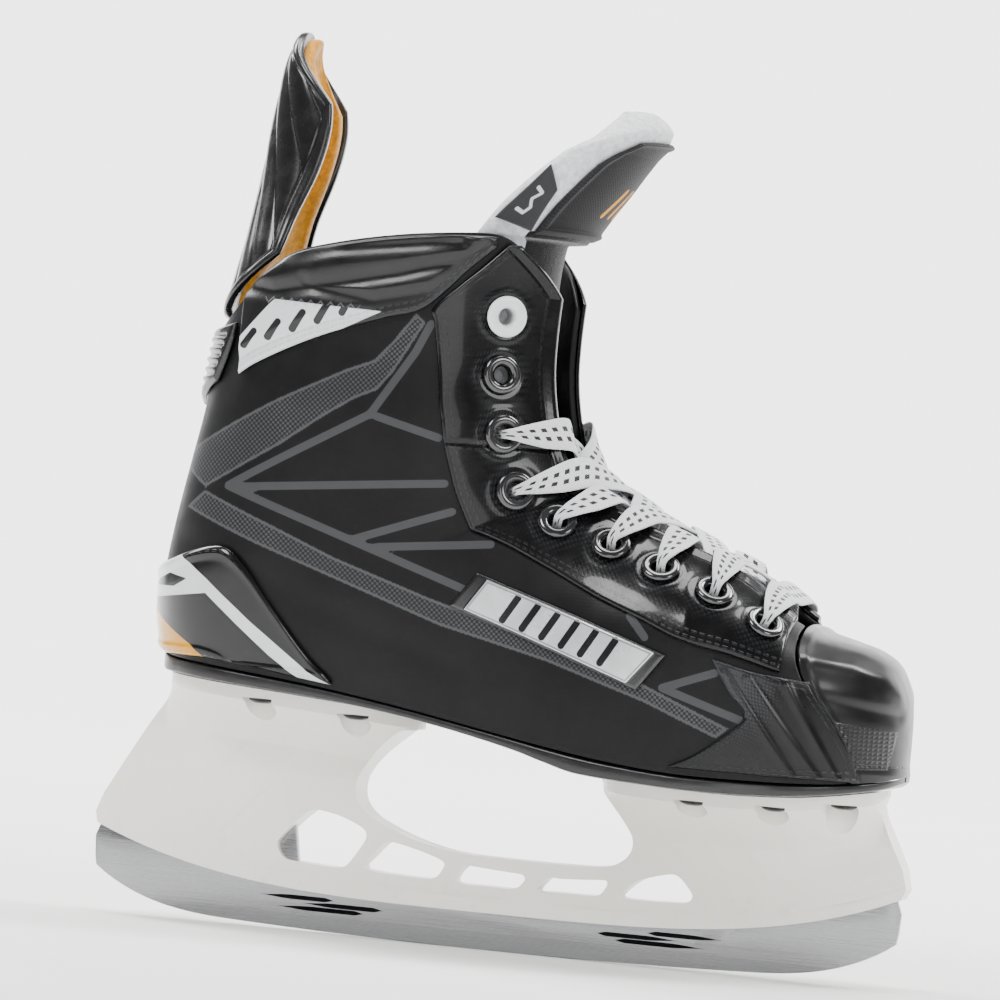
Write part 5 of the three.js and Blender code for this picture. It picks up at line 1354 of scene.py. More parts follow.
def build_tongue_tag(size):
    """Woven label at the tongue's flank with a single size numeral drawn as three strokes."""
    u, w = np.linspace(0, 1, 90)[:, None], np.linspace(0, 1, 90)[None]
    z = mix(mix(229, 225.6, w), mix(247, 239, w), u)
    angle = np.radians(mix(mix(-79, -71.5, u), mix(-55, -58, u), w))
    front = tongue_front_x(z)

    def tag(shift):
        return np.stack([front - TONGUE_A + (TONGUE_A + shift) * np.cos(angle),
                         (TONGUE_B + shift) * np.sin(angle), z], axis=-1)
    base = tag(SEAT)
    curl = 0.5 * np.sin(w * math.pi) * (1 - u)
    outer = tag(SEAT + 0.35 + 0.55 * rounded(edge_distance(base), 0.8) + curl)
    a, b = w * 14, u * 17
    numeral = np.min([segment_distance(a, b, p, q) for p, q in (((4, 11.5), (7.6, 11.5)), ((7.6, 11.5), (5.6, 8.4)),
                     ((5.6, 8.4), (7.8, 6.4)), ((7.8, 6.4), (6.8, 4)), ((6.8, 4), (3.8, 4.2)))], axis=0) - 0.55
    obj = plate("size_tag", outer, base, {"numeral": numeral * np.ones_like(z)})
    paint = Paint("woven_tag", 0.8)
    threads = paint.weave(0.45)
    ink = paint.inside("numeral")
    paint.color(paint.blend(ink, paint.blend(threads, "121214", "232327"), "c9cacd"))
    paint.raise_by(threads, 0.08, 0.8)
    settle(obj, paint.set(Sheen_Weight=0.3).material, "tag_woven", "tongue", "tongue_tag")


# ---------------------------------------------------------------- tendon guard
guard_back = curve_of((190, -102.8), (200, -100.6), (213, -98.4), (228, -96), (240, -94.6), (252, -93.3),
                      (265, -91.6), (276, -89.4), (284, -85.5))
guard_depth = curve_of((190, 12), (200, 13.5), (212, 16), (225, 17.5), (240, 21), (252, 22), (262, 20),
                       (272, 15), (284, 7))
guard_half = curve_of((190, 30), (212, 28), (225, 24.5), (240, 22), (255, 21), (270, 19), (284, 15))


def guard_grid(m, k, inset, trim):
    """Guard surface: m rises from the foot to the top and k runs round from flank to flank, as the arc
    x = back + depth (1 - cos), y = half sin."""
    flank = np.abs(k)
    z = mix(191 + 21 * flank**1.6 + trim, 283.8 - 23 * flank**2.4 - trim, m)
    depth = guard_depth(z) - GUARD_LEAD * k - inset
    turn = k * math.pi / 2 * (1 - trim / 40)
    return np.stack([guard_back(z) + inset + depth * (1 - np.cos(turn)), (guard_half(z) - inset) * np.sin(turn), z],
                    axis=-1)


def build_guard(size):
    """Moulded tendon guard: long fanned ribs inside a smooth raised border, with felt inside it."""
    m, k = np.linspace(0, 1, 300)[:, None], np.linspace(-1, 1, 241)[None]
    base = guard_grid(m, np.broadcast_to(k, (300, 241)), 0, 0)
    edge = edge_distance(base)
    inner_part = smooth(4.2, 5.4, edge)
    z, flank = base[..., 2], np.abs(k)
    fan = flank * 3.2 + (z - 191) / 21
    ribs = np.abs(np.sin(fan * math.pi)) ** 0.5
    relief = inner_part * (-1.0 + 0.85 * ribs) + 0.25 * bell(edge - 2.2, 1.5)
    groove = -0.5 * bell(edge - 4.6, 0.5)
    depth = -(relief + groove) + 0.25 * (1 - rounded(edge, 1.4)) * GUARD_SHELL
    outer = guard_grid(m, np.broadcast_to(k, z.shape), np.maximum(depth, -0.3), 0)
    inner = guard_grid(m, np.broadcast_to(k, z.shape), GUARD_SHELL - 0.2 * (1 - rounded(edge, 1.4)) * GUARD_SHELL, 0)
    bars = slanted_bars(base[..., 1], z, 5, (-9.5, 230.5), (4.6, 0), (1.6, 8), 0.8)
    obj = plate("guard_shell", outer, inner, {"bars": bars, "rim": edge})
    paint = Paint("guard_plastic")
    rim = paint.ramp(paint.attribute("rim"), 3.8, 4.8, 1.0, 0.0)
    color = paint.drifting(12, "070708", "0c0c0e")
    color = paint.blend(rim, color, "101012")
    ink = paint.inside("bars")
    paint.color(paint.blend(ink, color, "8a8c90"))
    paint.uneven(5, 0.2, 0.34)
    paint.raise_by(ink, 0.25, 0.7)
    paint.raise_by(paint.noise(paint.scaled(0.6), detail=4), 0.03, 0.5)
    material = paint.set(Specular_IOR_Level=0.4, Coat_Weight=0.4, Coat_Roughness=0.1).material
    settle(obj, material, "guard_black", "guard", "tendon_guard")

    m, k = crowded(160)[:, None], crowded(130)[None] * 2 - 1
    k = np.broadcast_to(k, (161, 131))
    near = guard_grid(m, k, GUARD_SHELL + 2 * SEAT, 2)
    edge = edge_distance(near)
    pad = GUARD_FELT * (1 - 0.45 * (1 - rounded(edge, 3)))
    tuft = 0.25 * np.sin(near[..., 2] * 0.33) * np.sin(near[..., 1] * 0.4)
    lining = plate("guard_felt", guard_grid(m, k, GUARD_SHELL + 2 * SEAT + 0.2 * (1 - rounded(edge, 3)), 2),
                   guard_grid(m, k, GUARD_SHELL + 2 * SEAT + pad + tuft * smooth(0, 4, edge), 2))
    settle(lining, felt("gold_felt", "b47505", size.colors.gold, 0.35).material, "guard_gold_felt", "guard",
           "tendon_guard_lining")


base_front = curve_of((163, -100), (175, -95), (183, -92.5), (189, -91.2))


def build_guard_base(size):
    """Ribbed patch on the heel under the guard."""
    k = crowded(180)[None] * 2 - 1
    m = crowded(110)[:, None]
    z = mix(163 + 8 * np.abs(k), 187 + 2.6 * np.abs(k) ** 2, m)
    k = np.broadcast_to(k, z.shape)
    base = wrap_round(z, k, base_front(z), SEAT)
    edge = edge_distance(base)
    ribs = 0.45 * np.sin(z / 3.1 * 2 * math.pi) * smooth(2, 4, edge)
    outer = wrap_round(z, k, base_front(z), SEAT + 0.2 + (LAYER + 0.2 + ribs) * rounded(edge, 1.5))
    obj = plate("guard_foot", outer, base)
    settle(obj, grained("guard_foot_plastic", "09090a", "121214", 0.3, 0.6, 0.04, Coat_Weight=0.3).material,
           "guard_black", "root", "tendon_guard_base")


# ---------------------------------------------------------------- sole, holder and runner
SLOT_DEPTH, LUG_HEIGHT, RAIL_HALF, TOWER_HALF = 7.5, 40, 3.9, 8.5
FLANGE_EDGE, FLANGE_SLOPE, BOLT_X, BOLT_RADIUS, NUT_RADIUS, NUT_HEIGHT = 4.2, 13, (-72, 80), 2.5, 5.2, 3.6
REAR_FLANGE, FRONT_FLANGE = (-109, -27, 27), (33, 122.5, 33)
END = RUNNER_HALF_LENGTH
outsole_low = curve_of((-111.5, 80), (-108, 78.6), (-49, 74.2), (-29, 71.8), (-9, 68.4), (10, 64.4), (20, 61.6),
                       (30, 59.2), (50, 58), (70, 57.5), (85, 57.8), (100, 58.8), (115, 61), (124, 63),
                       (128.5, 65.5))
ARCH = [
    (-26, 73.5), (-27.2, 67.4), (-31.5, 66.4), (-39.5, 58.7), (-44.5, 51), (-45, 46), (-43.5, 42), (-39.5, 38.4),
    (-29.5, 34), (-19.5, 31.2), (-9.5, 29.7), (10.5, 29.3), (30.5, 29.6), (37.5, 30.4), (41.5, 32.4), (44, 35.4),
    (44.5, 39), (43, 43), (40.5, 47), (37.5, 50.8), (34.5, 54), (32.4, 57), (32, 61), (-10, 80)]
WINDOWS = [
    [(-69.3, 28.2), (-69, 25.2), (-67, 22.8), (-64, 22.1), (-50, 21.4), (-46.6, 22.6), (-41.3, 30.6), (-41, 33.2),
     (-43, 35.2), (-50, 37.9), (-56.5, 39), (-59.5, 38.7), (-63.5, 35)],
    [(-41.5, 22.9), (-40.4, 21.6), (-30, 20.9), (-20, 20.8), (-17.2, 22), (-15.2, 25.6), (-16.6, 27.2),
     (-24.5, 29.6), (-32.5, 31.2), (-35, 30.6), (-39.5, 25.4)],
    [(-11.5, 20.6), (-1.5, 20.2), (6.5, 20.2), (9, 21.1), (10.8, 23.4), (10, 25), (2.5, 25.5), (-6.5, 26.1),
     (-9, 25.8)],
    [(15, 20.6), (18.5, 20.4), (33.5, 20.6), (35.5, 21.6), (37.2, 24.4), (36.7, 25.8), (32.5, 25.6), (22.5, 24.9),
     (18.5, 24.8)],
    [(41.5, 21.6), (42.5, 20.8), (50.5, 20.7), (61.5, 21.2), (63.9, 22.1), (64.4, 24.1), (60.5, 28.8),
     (57.5, 29.8), (50.5, 28.1), (46.5, 26.4)]]
REAR_CUT = [
    (-107.6, 73.2), (-109.6, 68.4), (-END + 10.5, 51), (-END + 3, 38), (-END + 0.6, 32), (-END + 1.4, 27),
    (-END - 10, 27), (-END - 10, 80), (-110, 80), (-108.6, 75.6)]
FRONT_CUT = [
    (122.8, 60.4), (120.5, 57.2), (END - 4.5, 47), (END, 38.4), (END + 1.6, 32), (END - 0.6, 27),
    (END + 15, 27), (END + 15, 72), (123.5, 72)]
# raised panels on the holder's towers
PANELS = [
    [(-98, 30), (-90, 27), (-80, 38), (-72, 47), (-66, 54), (-58, 63), (-76, 66), (-88, 50)],
    [(92, 52), (101, 44), (119, 44), (123, 36), (112, 30), (88, 30), (78, 44)],
    [(48, 50), (54, 40), (62, 34), (74, 33), (66, 47), (60, 54)]]


def eased(outline, count=8):
    """Closed outline through the same corners with eased turns: uniform Catmull-Rom, count steps a span,
    mixed with the straight span so that long edges stay straight."""
    pts = np.array(outline, float)
    p0, p1, p2, p3 = (np.roll(pts, k, axis=0) for k in (1, 0, -1, -2))
    t = np.linspace(0, 1, count, endpoint=False)[None, :, None]
    m1, m2 = ((p2 - p0) / 2)[:, None], ((p3 - p1) / 2)[:, None]
    reach = np.linalg.norm(p2 - p1, axis=1)[:, None, None]
    m1 = m1 * np.minimum(1, reach / np.maximum(np.linalg.norm(m1, axis=2, keepdims=True), 1e-6))
    m2 = m2 * np.minimum(1, reach / np.maximum(np.linalg.norm(m2, axis=2, keepdims=True), 1e-6))
    a, b = p1[:, None], p2[:, None]
    curve = (2 * a - 2 * b + m1 + m2) * t**3 + (-3 * a + 3 * b - 2 * m1 - m2) * t**2 + m1 * t + a
    return [tuple(p) for p in curve.reshape(-1, 2)]


def rail_low(x):
    return 11.8 + 17 * (np.abs(x) / END) ** 3.4


def keel(x):
    """Lower edge of the runner: the parabola of the rocker, and a cubic rise towards the ends."""
    past = np.maximum(0, np.abs(x) - 0.615 * END) / (0.385 * END)
    return x * x / (2 * ROCKER_RADIUS) + 11.4 * past**3


def holder_top(x):
    return outsole_low(x) - GAP


def holder_half(x, z):
    """Half width of the holder: a rail that widens into towers, then flares into the flanges under the sole
    as mix(rim, tower, slope^0.55)."""
    low, high, half = (np.where(x < 0, a, b) for a, b in zip(REAR_FLANGE, FRONT_FLANGE))
    t = np.clip(np.abs(x - (low + high) / 2) / ((high - low) / 2), 0, 1)
    rim = np.maximum(3, half * np.sqrt(1 - t**3.2))
    depth = holder_top(x) - z
    tower = mix(RAIL_HALF, TOWER_HALF, np.clip((z - 16) / 34, 0, 1))
    slope = np.clip((depth - FLANGE_EDGE) / FLANGE_SLOPE, 0, 1)
    return np.where(depth <= FLANGE_EDGE, rim, mix(rim, tower, slope**0.55))


def shade_by_angle(obj, degrees=32):
    obj.data.shade_smooth()
    obj.data.set_sharp_from_angle(angle=math.radians(degrees))
    return obj


def soften(obj, width, degrees):
    """Rounds the sharp edges with a bevel, applied at once."""
    bevel = obj.modifiers.new("soften", "BEVEL")
    bevel.width, bevel.segments, bevel.limit_method = width, 2, "ANGLE"
    bevel.angle_limit = math.radians(degrees)
    bevel.use_clamp_overlap = True
    return freeze(obj)


def upright(x, y, low, high, radius, sides=24, reach=0):
    """Cutter: an upright cylinder, drawn out sideways by reach."""
    rings = lathe([(radius, low), (radius, high)], sides)
    rings = rings + np.array((x, y, 0)) + (rings[..., 1:2] * reach > 0) * np.array((0, reach, 0))
    tool = ring_loft("bore", rings)
    mesh = tool.data
    bpy.data.objects.remove(tool)
    return mesh


def runner_outline(grow, lugs):
    x = np.linspace(-END + 4, END - 4, 260)
    flat = np.maximum(keel(x) - keel(4), 0)
    below = list(zip(x, flat))
    ends = [(-1, 14.6), (-0.7, 16), (-0.4, 18), (0, 24)]
    front = [(END + d, z) for d, z in ends]
    rear = [(-END - d, z) for d, z in ends][::-1]
    xs = np.sort(np.concatenate([np.linspace(-END * 0.97, END * 0.97, 150)]
                                + [np.array((b - 9, b - 6, b + 6, b + 9)) for b in BOLT_X]))[::-1]
    tops = rail_low(xs) + SLOT_DEPTH + grow
    if lugs:
        for b in BOLT_X:
            away = np.abs(xs - b)
            lug = mix(LUG_HEIGHT + grow, tops, np.clip((away - 6) / 3, 0, 1))
            tops = np.where(away <= 9 + grow, np.maximum(tops, lug), tops)
    return below + front + list(zip(xs, tops)) + rear


def build_holder(size):
    """Warm white moulded holder: slotted rail, towers with raised panels, arch, windows and flanges."""
    x = np.linspace(-END - 0.4, END + 1.6, 330)[:, None]
    level = np.concatenate([np.linspace(0, 0.6, 34), np.linspace(0.6, 1, 60)[1:]])[None]
    inside = np.clip(x, REAR_FLANGE[0], FRONT_FLANGE[1])
    z = mix(rail_low(x), holder_top(inside), level)
    half = holder_half(inside * np.ones_like(z), z)
    x = np.broadcast_to(x, z.shape)
    panel = np.min([outline_distance(x, z, p) for p in PANELS], axis=0)
    half = half + 0.35 * smooth(0.8, -0.8, panel) * smooth(14, 19, z) * smooth(26, 14, half)
    groove = bell(z - rail_low(x) - 4.2, 0.5)
    half = half - 0.25 * groove
    near = np.stack([x, -half, z], axis=-1)
    far = np.stack([x, half, z], axis=-1)[:, ::-1]
    obj = ring_loft("holder_body", np.concatenate([near, far], axis=1))
    slot = RUNNER_THICKNESS + 2 * GAP
    tools = [prism(eased(w, 5), 60) for w in WINDOWS] + [prism(eased(ARCH, 5), 60)]
    tools += [prism(cut, 60) for cut in (REAR_CUT, FRONT_CUT)]
    tools.append(prism(runner_outline(GAP, True), slot / 2))
    for b in BOLT_X:
        tools.append(upright(b, 0, LUG_HEIGHT + GAP - 1, 90, BOLT_RADIUS + GAP))
        tools.append(upright(b, 0, float(holder_top(b)) - NUT_HEIGHT - 1.2 - GAP, 90, NUT_RADIUS + GAP))
    for (px, py), (_, side) in product(RIVET_SPOTS, SIDES):
        tools.append(upright(px, side * py, 20, float(holder_top(px)) - 2.9, RIVET_HEAD + 0.6, 24, side * 14))
        tools.append(upright(px, side * py, 40, 100, RIVET_SHANK + GAP, 16))
    carve(obj, tools)
    shade_by_angle(obj)
    paint = Paint("holder_plastic")
    drift = paint.noise(paint.scaled(30), detail=4)
    # grey-beige mottling (c4c1b6) over the whole holder: weight 0.12 everywhere, rising to 0.42 below 30 mm, so the
    # holder is darker towards the bottom
    grey_mottle = paint.ramp(paint.noise(paint.scaled(7), detail=6, rough=0.65), 0.55, 0.8)
    low = paint.ramp(paint.part(paint.place, 2), 0.012, 0.03, 1.0, 0.0)
    color = paint.blend(drift, "eae8df", size.colors.holder)
    grey_mottle = paint.math("MULTIPLY", grey_mottle, paint.math("MULTIPLY_ADD", low, 0.3, 0.12))
    paint.color(paint.blend(grey_mottle, color, "c4c1b6"))
    paint.uneven(6, 0.3, 0.44)
    paint.raise_by(paint.noise(paint.scaled(0.7), detail=3), 0.03, 0.5)
    scratch = paint.noise(paint.vector("MULTIPLY", paint.scaled(1), (0.08, 1, 1.4)), detail=3)
    paint.raise_by(paint.ramp(scratch, 0.62, 0.72), 0.02, 0.3)
    material = paint.set(Subsurface_Weight=0.08, Subsurface_Scale=0.002, Coat_Weight=0.15,
                         Coat_Roughness=0.2).material
    settle(obj, material, "holder_white", "root", "blade_holder")


def build_runner(size):
    """Steel runner: long brushed flanks, a brighter ground strip along the edge and dark etched streaks."""
    obj = bpy.data.objects.new("steel_runner", prism(runner_outline(0, True), RUNNER_THICKNESS / 2))
    bpy.context.collection.objects.link(obj)
    soften(obj, size.runner_bevel, 50)
    shade_by_angle(obj, 30)
    paint = Paint("brushed_runner", 0.3, 1.0)
    line = paint.vector("MULTIPLY", paint.scaled(1), (0.03, 1, 3.2))
    brush = paint.noise(line, detail=4, rough=0.7)
    height = paint.part(paint.place, 2)
    ground = paint.ramp(height, 0.0052, 0.0058, 1.0, 0.0)
    along = paint.math("ABSOLUTE", paint.part(paint.place, 0))
    streak = 0.0
    for low, start, end in ((0.0074, 0.040, 0.070), (0.0090, 0.034, 0.062), (0.0106, 0.050, 0.076)):
        fade = paint.ramp(along, end - 0.012, end, 1.0, 0.0)
        reach = paint.math("MULTIPLY", paint.ramp(along, start, start + 0.004), fade)
        off = paint.math("ABSOLUTE", paint.math("SUBTRACT", height, low))
        mark = paint.math("LESS_THAN", off, paint.math("MULTIPLY", reach, 0.0007))
        streak = paint.math("MAXIMUM", streak, mark)
    steel = paint.blend(brush, "7c7d7f", "adaeaf")
    color = paint.blend(ground, steel, "8f9092")
    paint.color(paint.blend(streak, color, "101012"))
    paint.rough(paint.ramp(brush, 0.3, 0.75, 0.2, 0.42))
    paint.raise_by(brush, 0.02, 0.6)
    material = paint.set(Anisotropic=0.5).material
    settle(obj, material, "runner_steel", "root", "runner")


def low_half_width(x, lift):
    x = np.clip(x, -113, 127.9)
    return np.abs(over_side(x, sole_z(x) + lift, 1, 0)[..., 1])


def slab(name, start, end, half, low, high, edge, crown=None):
    """Slab that follows the sole, with rounded edges: each section is a rounded rectangle between the
    heights low(x) and high(x), as the superellipse |y/h|^n + |z/t|^n = 1."""
    t = np.linspace(0, 1, 260)
    x = (start + end) / 2 - np.cos(t * math.pi) * (end - start) / 2
    turn = np.linspace(0, 2 * math.pi, 96, endpoint=False)
    c, s = np.cos(turn), np.sin(turn)
    h = np.maximum(half(x), 1.2)[:, None]
    a, b = low(x)[:, None], high(x)[:, None]
    y = h * np.sign(c) * np.abs(c) ** edge
    z = (a + b) / 2 + (b - a) / 2 * np.sign(s) * np.abs(s) ** edge
    if crown is not None:
        z = z + np.where(s > 0, crown(x[:, None], y / h), 0)
    return ring_loft(name, np.stack([np.broadcast_to(x[:, None], y.shape), y, z], axis=-1))


def inner_half(x, lift, margin):
    near = np.stack([low_half_width(x + k * margin, lift) for k in (-1, -0.5, 0, 0.5, 1)])
    return near.min(0) - margin - SEAT


def dress(name, material):
    """Gives a node of the frame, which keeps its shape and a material."""
    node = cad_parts[name]
    node.data.materials.clear()
    node.data.materials.append(material)


def build_sole(size):
    """Moulded outsole, and the shaped footbed inside the boot."""
    obj = slab("outsole_body", -111.6, 128.2, lambda x: low_half_width(x, 1.5) + 0.6, outsole_low,
               lambda x: sole_z(x) - GAP, 0.22)
    holes = [upright(px, side * py, 40, 100, RIVET_SHANK + GAP, 16)
             for (px, py), (_, side) in product(RIVET_SPOTS, SIDES)]
    shade_by_angle(carve(obj, holes), 40)
    settle(obj, grained("outsole_plastic", "08080a", "101012", 0.36, 1.1, 0.06, Coat_Weight=0.2).material,
           "outsole_black", "root", "outsole")
    margin = WALL + LINING + 2 * SEAT + 3 * GAP
    board_high = lambda x: sole_z(x) + GAP + BOARD
    bed = slab("footbed_pad", -102, 116, lambda x: inner_half(x, BOARD, margin), lambda x: board_high(x) + 2,
               lambda x: board_high(x) + 5.6 + 2.5 * bell(x + 25, 28), 0.3,
               lambda x, y: -0.9 * (1 - np.abs(y) ** 3) * smooth(1.1, 0.9, np.abs(x) / 110))
    settle(bed, felt("footbed_cloth", "17181b", "2b2d33", 0.15).material, "footbed_foam", "root", "footbed")
    fibre = grained("fibre_board", "26272b", "34353a", 0.7, 1.4, 0.08).material
    dress("insole_board", fibre)


def build_fixings(size):
    """Blackened rivets under the flanges, and the plated bolts and nuts inside the towers."""
    dark = grained("rivet_steel", "0c0c0d", "1b1b1d", 0.3, 1.6, 0.04, Metallic=0.4).material
    for name, side in SIDES:
        for i, (x, y) in enumerate(RIVET_SPOTS):
            seat = float(holder_top(x)) - 2.9 - GAP
            top = float(max(sole_z(x - 3), sole_z(x + 3))) + GAP + BOARD + GAP
            dome = [(RIVET_HEAD * math.sin(a), seat - RIVET_HEAD_HEIGHT * math.cos(a))
                    for a in np.linspace(0.15, math.pi / 2, 10)]
            dip = [(0.01, seat - 0.7), (1.3, seat - 0.75), (1.7, seat - 1.35)]
            dome = [p for p in dome if p[0] > 1.75]
            profile = dip + dome + [(RIVET_SHANK, seat), (RIVET_SHANK, top), (RIVET_SHANK + 0.9, top + 0.1),
                                    (RIVET_SHANK + 0.5, top + 0.6), (0.01, top + 0.8)]
            rings = lathe(profile, 32) + np.array((x, side * y, 0))
            obj = shade_by_angle(ring_loft(f"rivet_{name}_{i + 1}", rings), 40)
            settle(obj, dark, "rivet_steel", "root", f"{name}_rivet_{i + 1}")
    plated = grained("plated_steel", "8d9094", "b9bcc0", 0.28, 1.5, 0.03, Metallic=1.0).material
    for end in ("rear", "front"):
        for kind in ("bolt", "nut"):
            dress(f"{end}_blade_{kind}", plated)


# ---------------------------------------------------------------- stage and camera
def build_stage(size):
    """Pale floor that curves up into a backdrop, with a barely visible mottling."""
    x = np.linspace(-size.stage_reach, size.stage_reach, 60)[:, None] / MM
    reach = size.stage_reach / MM
    run = np.linspace(-reach, 1.6 * reach, 120)[None]
    bend, radius = 0.55 * reach, 0.5 * reach
    angle = np.clip((run - bend) / radius, 0, math.pi / 2)
    y = np.minimum(run, bend) + radius * np.sin(angle)
    z = radius * (1 - np.cos(angle)) + np.maximum(run - bend - radius * math.pi / 2, 0)
    grid = np.stack([x + 0 * run, y + 0 * x, z + 0 * x], axis=-1)
    mesh = bpy.data.meshes.new("floor")
    mesh.from_pydata((grid.reshape(-1, 3) * MM).tolist(), [], grid_faces(60, 120)[:, ::-1].tolist())
    mesh.shade_smooth()
    obj = bpy.data.objects.new("floor", mesh)
    bpy.context.collection.objects.link(obj)
    paint = Paint("pale_floor", 0.85)
    paint.color(paint.blend(paint.noise(paint.scaled(60), detail=3), "f1f1f0", "f8f8f7"))
    mesh.materials.append(paint.material)


def add_light(name, place, target, width, power):
    data = bpy.data.lights.new(name, "AREA")
    data.shape, data.size, data.energy = "DISK", width, power
    obj = bpy.data.objects.new(name, data)
    obj.location = place
    obj.rotation_euler = (Vector(target) - Vector(place)).to_track_quat("-Z", "Y").to_euler()
    bpy.context.collection.objects.link(obj)


def build_lights(size):
    """Soft studio light: a wide key ahead and above, a broad fill and two rims."""
    middle = (0, 0, 0.14)
    add_light("key", (-0.9, -1.3, 1.7), middle, 0.9, 40)
    add_light("fill", (1.5, -1.2, 0.9), middle, 0.7, 14)
    add_light("top", (0.1, 0.2, 1.9), middle, 0.9, 26)
    add_light("rim", (-1.5, 0.5, 1.1), middle, 0.6, 10)
    add_light("low", (0.3, -1.8, 0.25), (0, 0, 0.03), 0.8, 5)
    for name, x in (("left", -1.6), ("right", 1.6)):
        add_light("backdrop_" + name, (x, 0.9, 2.2), (x * 0.4, 2.9, 0.5), 1.6, 170)
    world = bpy.context.scene.world or bpy.data.worlds.new("studio")
    bpy.context.scene.world = world
    world.use_nodes = True
    sky = world.node_tree.nodes["Background"]
    sky.inputs["Color"].default_value = (1, 1, 1, 1)
    sky.inputs["Strength"].default_value = 0.3


CAMERA_TARGET = (-0.0089, 0, 0.1415)
CAMERA_SPAN = 0.315


def build_camera(size):
    """Camera at the height of the boot, turned 12 degrees towards the toe and tipped so the toe dips."""
    azimuth, tip = math.radians(12), math.radians(5.1)
    away = Vector((math.sin(azimuth), -math.cos(azimuth), 0)) * size.camera_distance
    data = bpy.data.cameras.new("camera")
    data.lens = data.sensor_width * size.camera_distance / CAMERA_SPAN
    data.clip_end = 20
    obj = bpy.data.objects.new("camera", data)
    turn = (-away).to_track_quat("-Z", "Y").to_matrix().to_4x4() @ Matrix.Rotation(tip, 4, "Z")
    obj.matrix_world = Matrix.Translation(Vector(CAMERA_TARGET) + away) @ turn
    bpy.context.collection.objects.link(obj)
    bpy.context.scene.camera = obj
# ---------------------------------------------------------------- add-on
def length(name, description, default, least):
    return bpy.props.FloatProperty(name=name, description=description, default=default, min=least, unit="LENGTH")


def tint(name, description, hex_color):
    return bpy.props.FloatVectorProperty(
        name=name, description=description, default=linear(hex_color), size=4, min=0, max=1, subtype="COLOR")


class SkateColors(bpy.types.PropertyGroup):
    """Colours that can be changed."""
    wall: tint("Side walls", "Lighter of the two blacks that the walls drift between", "0e0e10")
    band: tint("Bands", "Lighter ink of the dotted bands", "464748")
    line: tint("Fine lines", "Ink of the fine lines", "3b3c3e")
    heel: tint("Heel wedge", "Gold at the foot of the heel cup", "d99a0c")
    gold: tint("Guard felt", "Lighter fibres of the guard's felt", "e39e12")
    lace: tint("Lace", "Lighter threads of the lace", "f2f2f4")
    holder: tint("Blade holder", "Lighter of the holder's two whites", "f4f3ec")


class SkateSizes(bpy.types.PropertyGroup):
    """Sizes of the looks that can be changed."""
    dot_pitch: length("Dot pitch", "Spacing of the printed dots", 0.00115, 0.0005)
    stitch_pitch: length("Stitch pitch", "Length of a stitch and its gap", 0.0026, 0.001)
    lace_width: length("Lace width", "Width that the lace's pattern is laid out on", 0.011, 0.004)
    runner_bevel: length("Runner bevel", "Width of the bevel on the runner's edges", 0.00022, 0.00005)
    stage_reach: length("Stage reach", "Half the width of the floor", 3.0, 1.0)
    camera_distance: length("Camera distance", "From the middle of the skate", 2.2, 0.5)
    colors: bpy.props.PointerProperty(type=SkateColors, name="Colours", description="Colours of the skate")


class Builder:
    """Shared by the operators: runs the class's builders in turn with the scene's sizes."""
    builders = ()

    def execute(self, context):
        for build in self.builders:
            build(context.scene.skate_sizes)
        return {"FINISHED"}


class SKATE_OT_stage(Builder, bpy.types.Operator):
    """Camera, pale floor with its backdrop, and the lights"""
    bl_idname = "skate.stage"
    bl_label = "Stage and camera"
    builders = (build_camera, build_stage, build_lights)


class SKATE_OT_walls(Builder, bpy.types.Operator):
    """Side walls of the boot with their printed bands"""
    bl_idname = "skate.walls"
    bl_label = "Side walls"
    builders = (build_quarters,)


class SKATE_OT_facings(Builder, bpy.types.Operator):
    """Glossy facings that carry the eyelets"""
    bl_idname = "skate.facings"
    bl_label = "Lace facings"
    builders = (build_facings,)


class SKATE_OT_straps(Builder, bpy.types.Operator):
    """Stitched panels behind the toe cap"""
    bl_idname = "skate.straps"
    bl_label = "Forefoot panels"
    builders = (build_straps,)


class SKATE_OT_collars(Builder, bpy.types.Operator):
    """Quilted pads round the ankle"""
    bl_idname = "skate.collars"
    bl_label = "Collar pads"
    builders = (build_collars,)


class SKATE_OT_toe_cap(Builder, bpy.types.Operator):
    """Moulded toe cap"""
    bl_idname = "skate.toe_cap"
    bl_label = "Toe cap"
    builders = (build_toe_cap,)


class SKATE_OT_heel_counter(Builder, bpy.types.Operator):
    """Glossy cup round the heel"""
    bl_idname = "skate.heel_counter"
    bl_label = "Heel cup"
    builders = (build_heel_counter,)


class SKATE_OT_badges(Builder, bpy.types.Operator):
    """Framed plates on both sides"""
    bl_idname = "skate.badges"
    bl_label = "Side badges"
    builders = (build_badges,)


class SKATE_OT_linings(Builder, bpy.types.Operator):
    """Padded linings inside the walls"""
    bl_idname = "skate.linings"
    bl_label = "Linings"
    builders = (build_linings,)


class SKATE_OT_eyelets(Builder, bpy.types.Operator):
    """All eighteen eyelets"""
    bl_idname = "skate.eyelets"
    bl_label = "Eyelets"
    builders = (build_eyelets,)


class SKATE_OT_lace(Builder, bpy.types.Operator):
    """One flat lace through seven pairs of eyelets"""
    bl_idname = "skate.lace"
    bl_label = "Lace"
    builders = (build_lace,)


class SKATE_OT_tongue(Builder, bpy.types.Operator):
    """Felt tongue with its face and its size tag"""
    bl_idname = "skate.tongue"
    bl_label = "Tongue"
    builders = (build_tongue, build_tongue_face, build_tongue_tag)


class SKATE_OT_guard(Builder, bpy.types.Operator):
    """Tendon guard, its felt and the ribbed patch under it"""
    bl_idname = "skate.guard"
    bl_label = "Tendon guard"
    builders = (build_guard, build_guard_base)


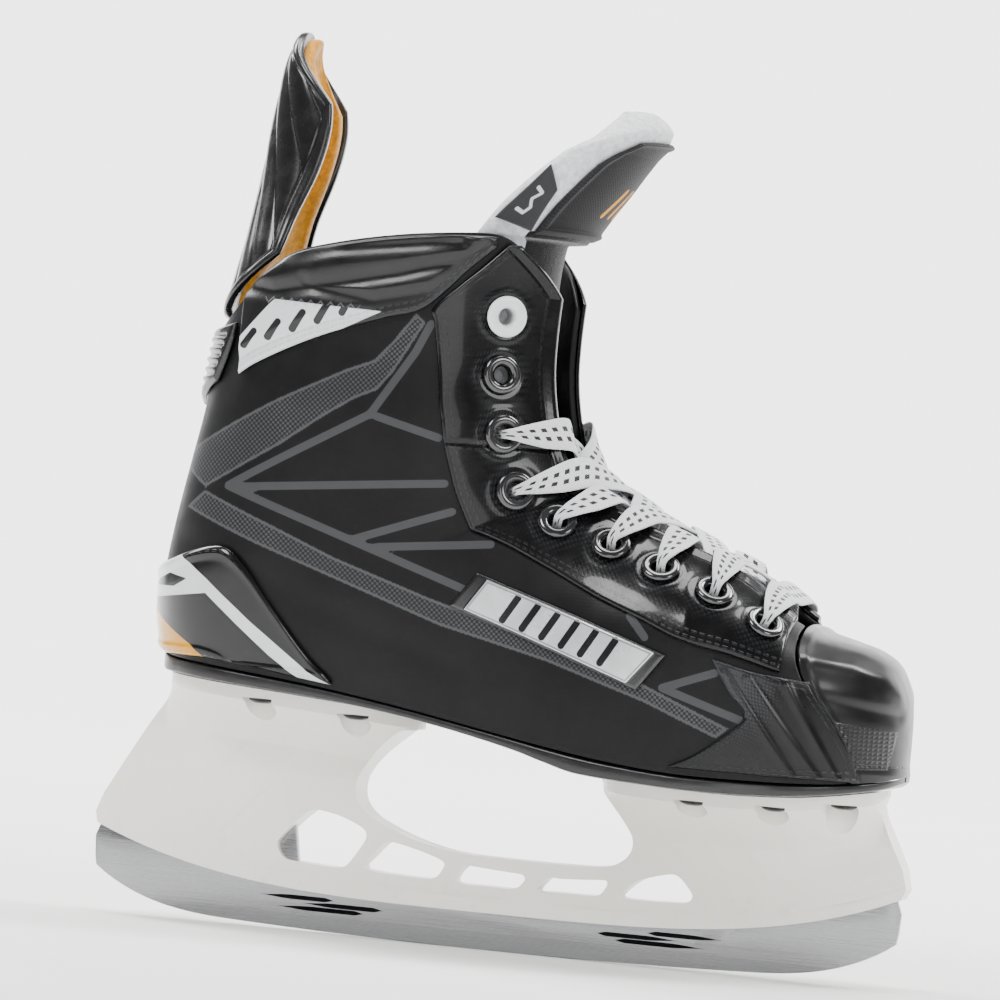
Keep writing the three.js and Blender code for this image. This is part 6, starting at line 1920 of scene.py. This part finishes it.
class SKATE_OT_sole(Builder, bpy.types.Operator):
    """Outsole and footbed, and the insole board's finish"""
    bl_idname = "skate.sole"
    bl_label = "Sole"
    builders = (build_sole,)


class SKATE_OT_holder(Builder, bpy.types.Operator):
    """White blade holder with its windows"""
    bl_idname = "skate.holder"
    bl_label = "Blade holder"
    builders = (build_holder,)


class SKATE_OT_runner(Builder, bpy.types.Operator):
    """Steel runner"""
    bl_idname = "skate.runner"
    bl_label = "Runner"
    builders = (build_runner,)


class SKATE_OT_fixings(Builder, bpy.types.Operator):
    """Rivets, and the finish of the bolts and nuts"""
    bl_idname = "skate.fixings"
    bl_label = "Rivets and bolts"
    builders = (build_fixings,)


OPERATORS = (
    SKATE_OT_stage, SKATE_OT_walls, SKATE_OT_facings, SKATE_OT_straps, SKATE_OT_collars, SKATE_OT_toe_cap,
    SKATE_OT_heel_counter, SKATE_OT_badges, SKATE_OT_linings, SKATE_OT_eyelets, SKATE_OT_lace, SKATE_OT_tongue,
    SKATE_OT_guard, SKATE_OT_sole, SKATE_OT_holder, SKATE_OT_runner, SKATE_OT_fixings)


class SKATE_PT_panel(bpy.types.Panel):
    """Sizes, colours and one button for each piece."""
    bl_idname = "SKATE_PT_panel"
    bl_label = "Skate"
    bl_space_type = "VIEW_3D"
    bl_region_type = "UI"
    bl_category = "Skate"

    def draw(self, context):
        sizes = context.scene.skate_sizes
        for group in (sizes, sizes.colors):
            for name in type(group).__annotations__:
                if name != "colors":
                    self.layout.prop(group, name)
        for made in OPERATORS:
            self.layout.operator(made.bl_idname)


CLASSES = (SkateColors, SkateSizes, *OPERATORS, SKATE_PT_panel)


def register():
    for made in CLASSES:
        bpy.utils.register_class(made)
    bpy.types.Scene.skate_sizes = bpy.props.PointerProperty(type=SkateSizes)


def unregister():
    del bpy.types.Scene.skate_sizes
    for made in reversed(CLASSES):
        bpy.utils.unregister_class(made)


def main():
    register()
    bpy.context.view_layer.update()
    for made in OPERATORS:
        group, name = made.bl_idname.split(".")
        getattr(getattr(bpy.ops, group), name)()


if __name__ == "__main__":
    main()
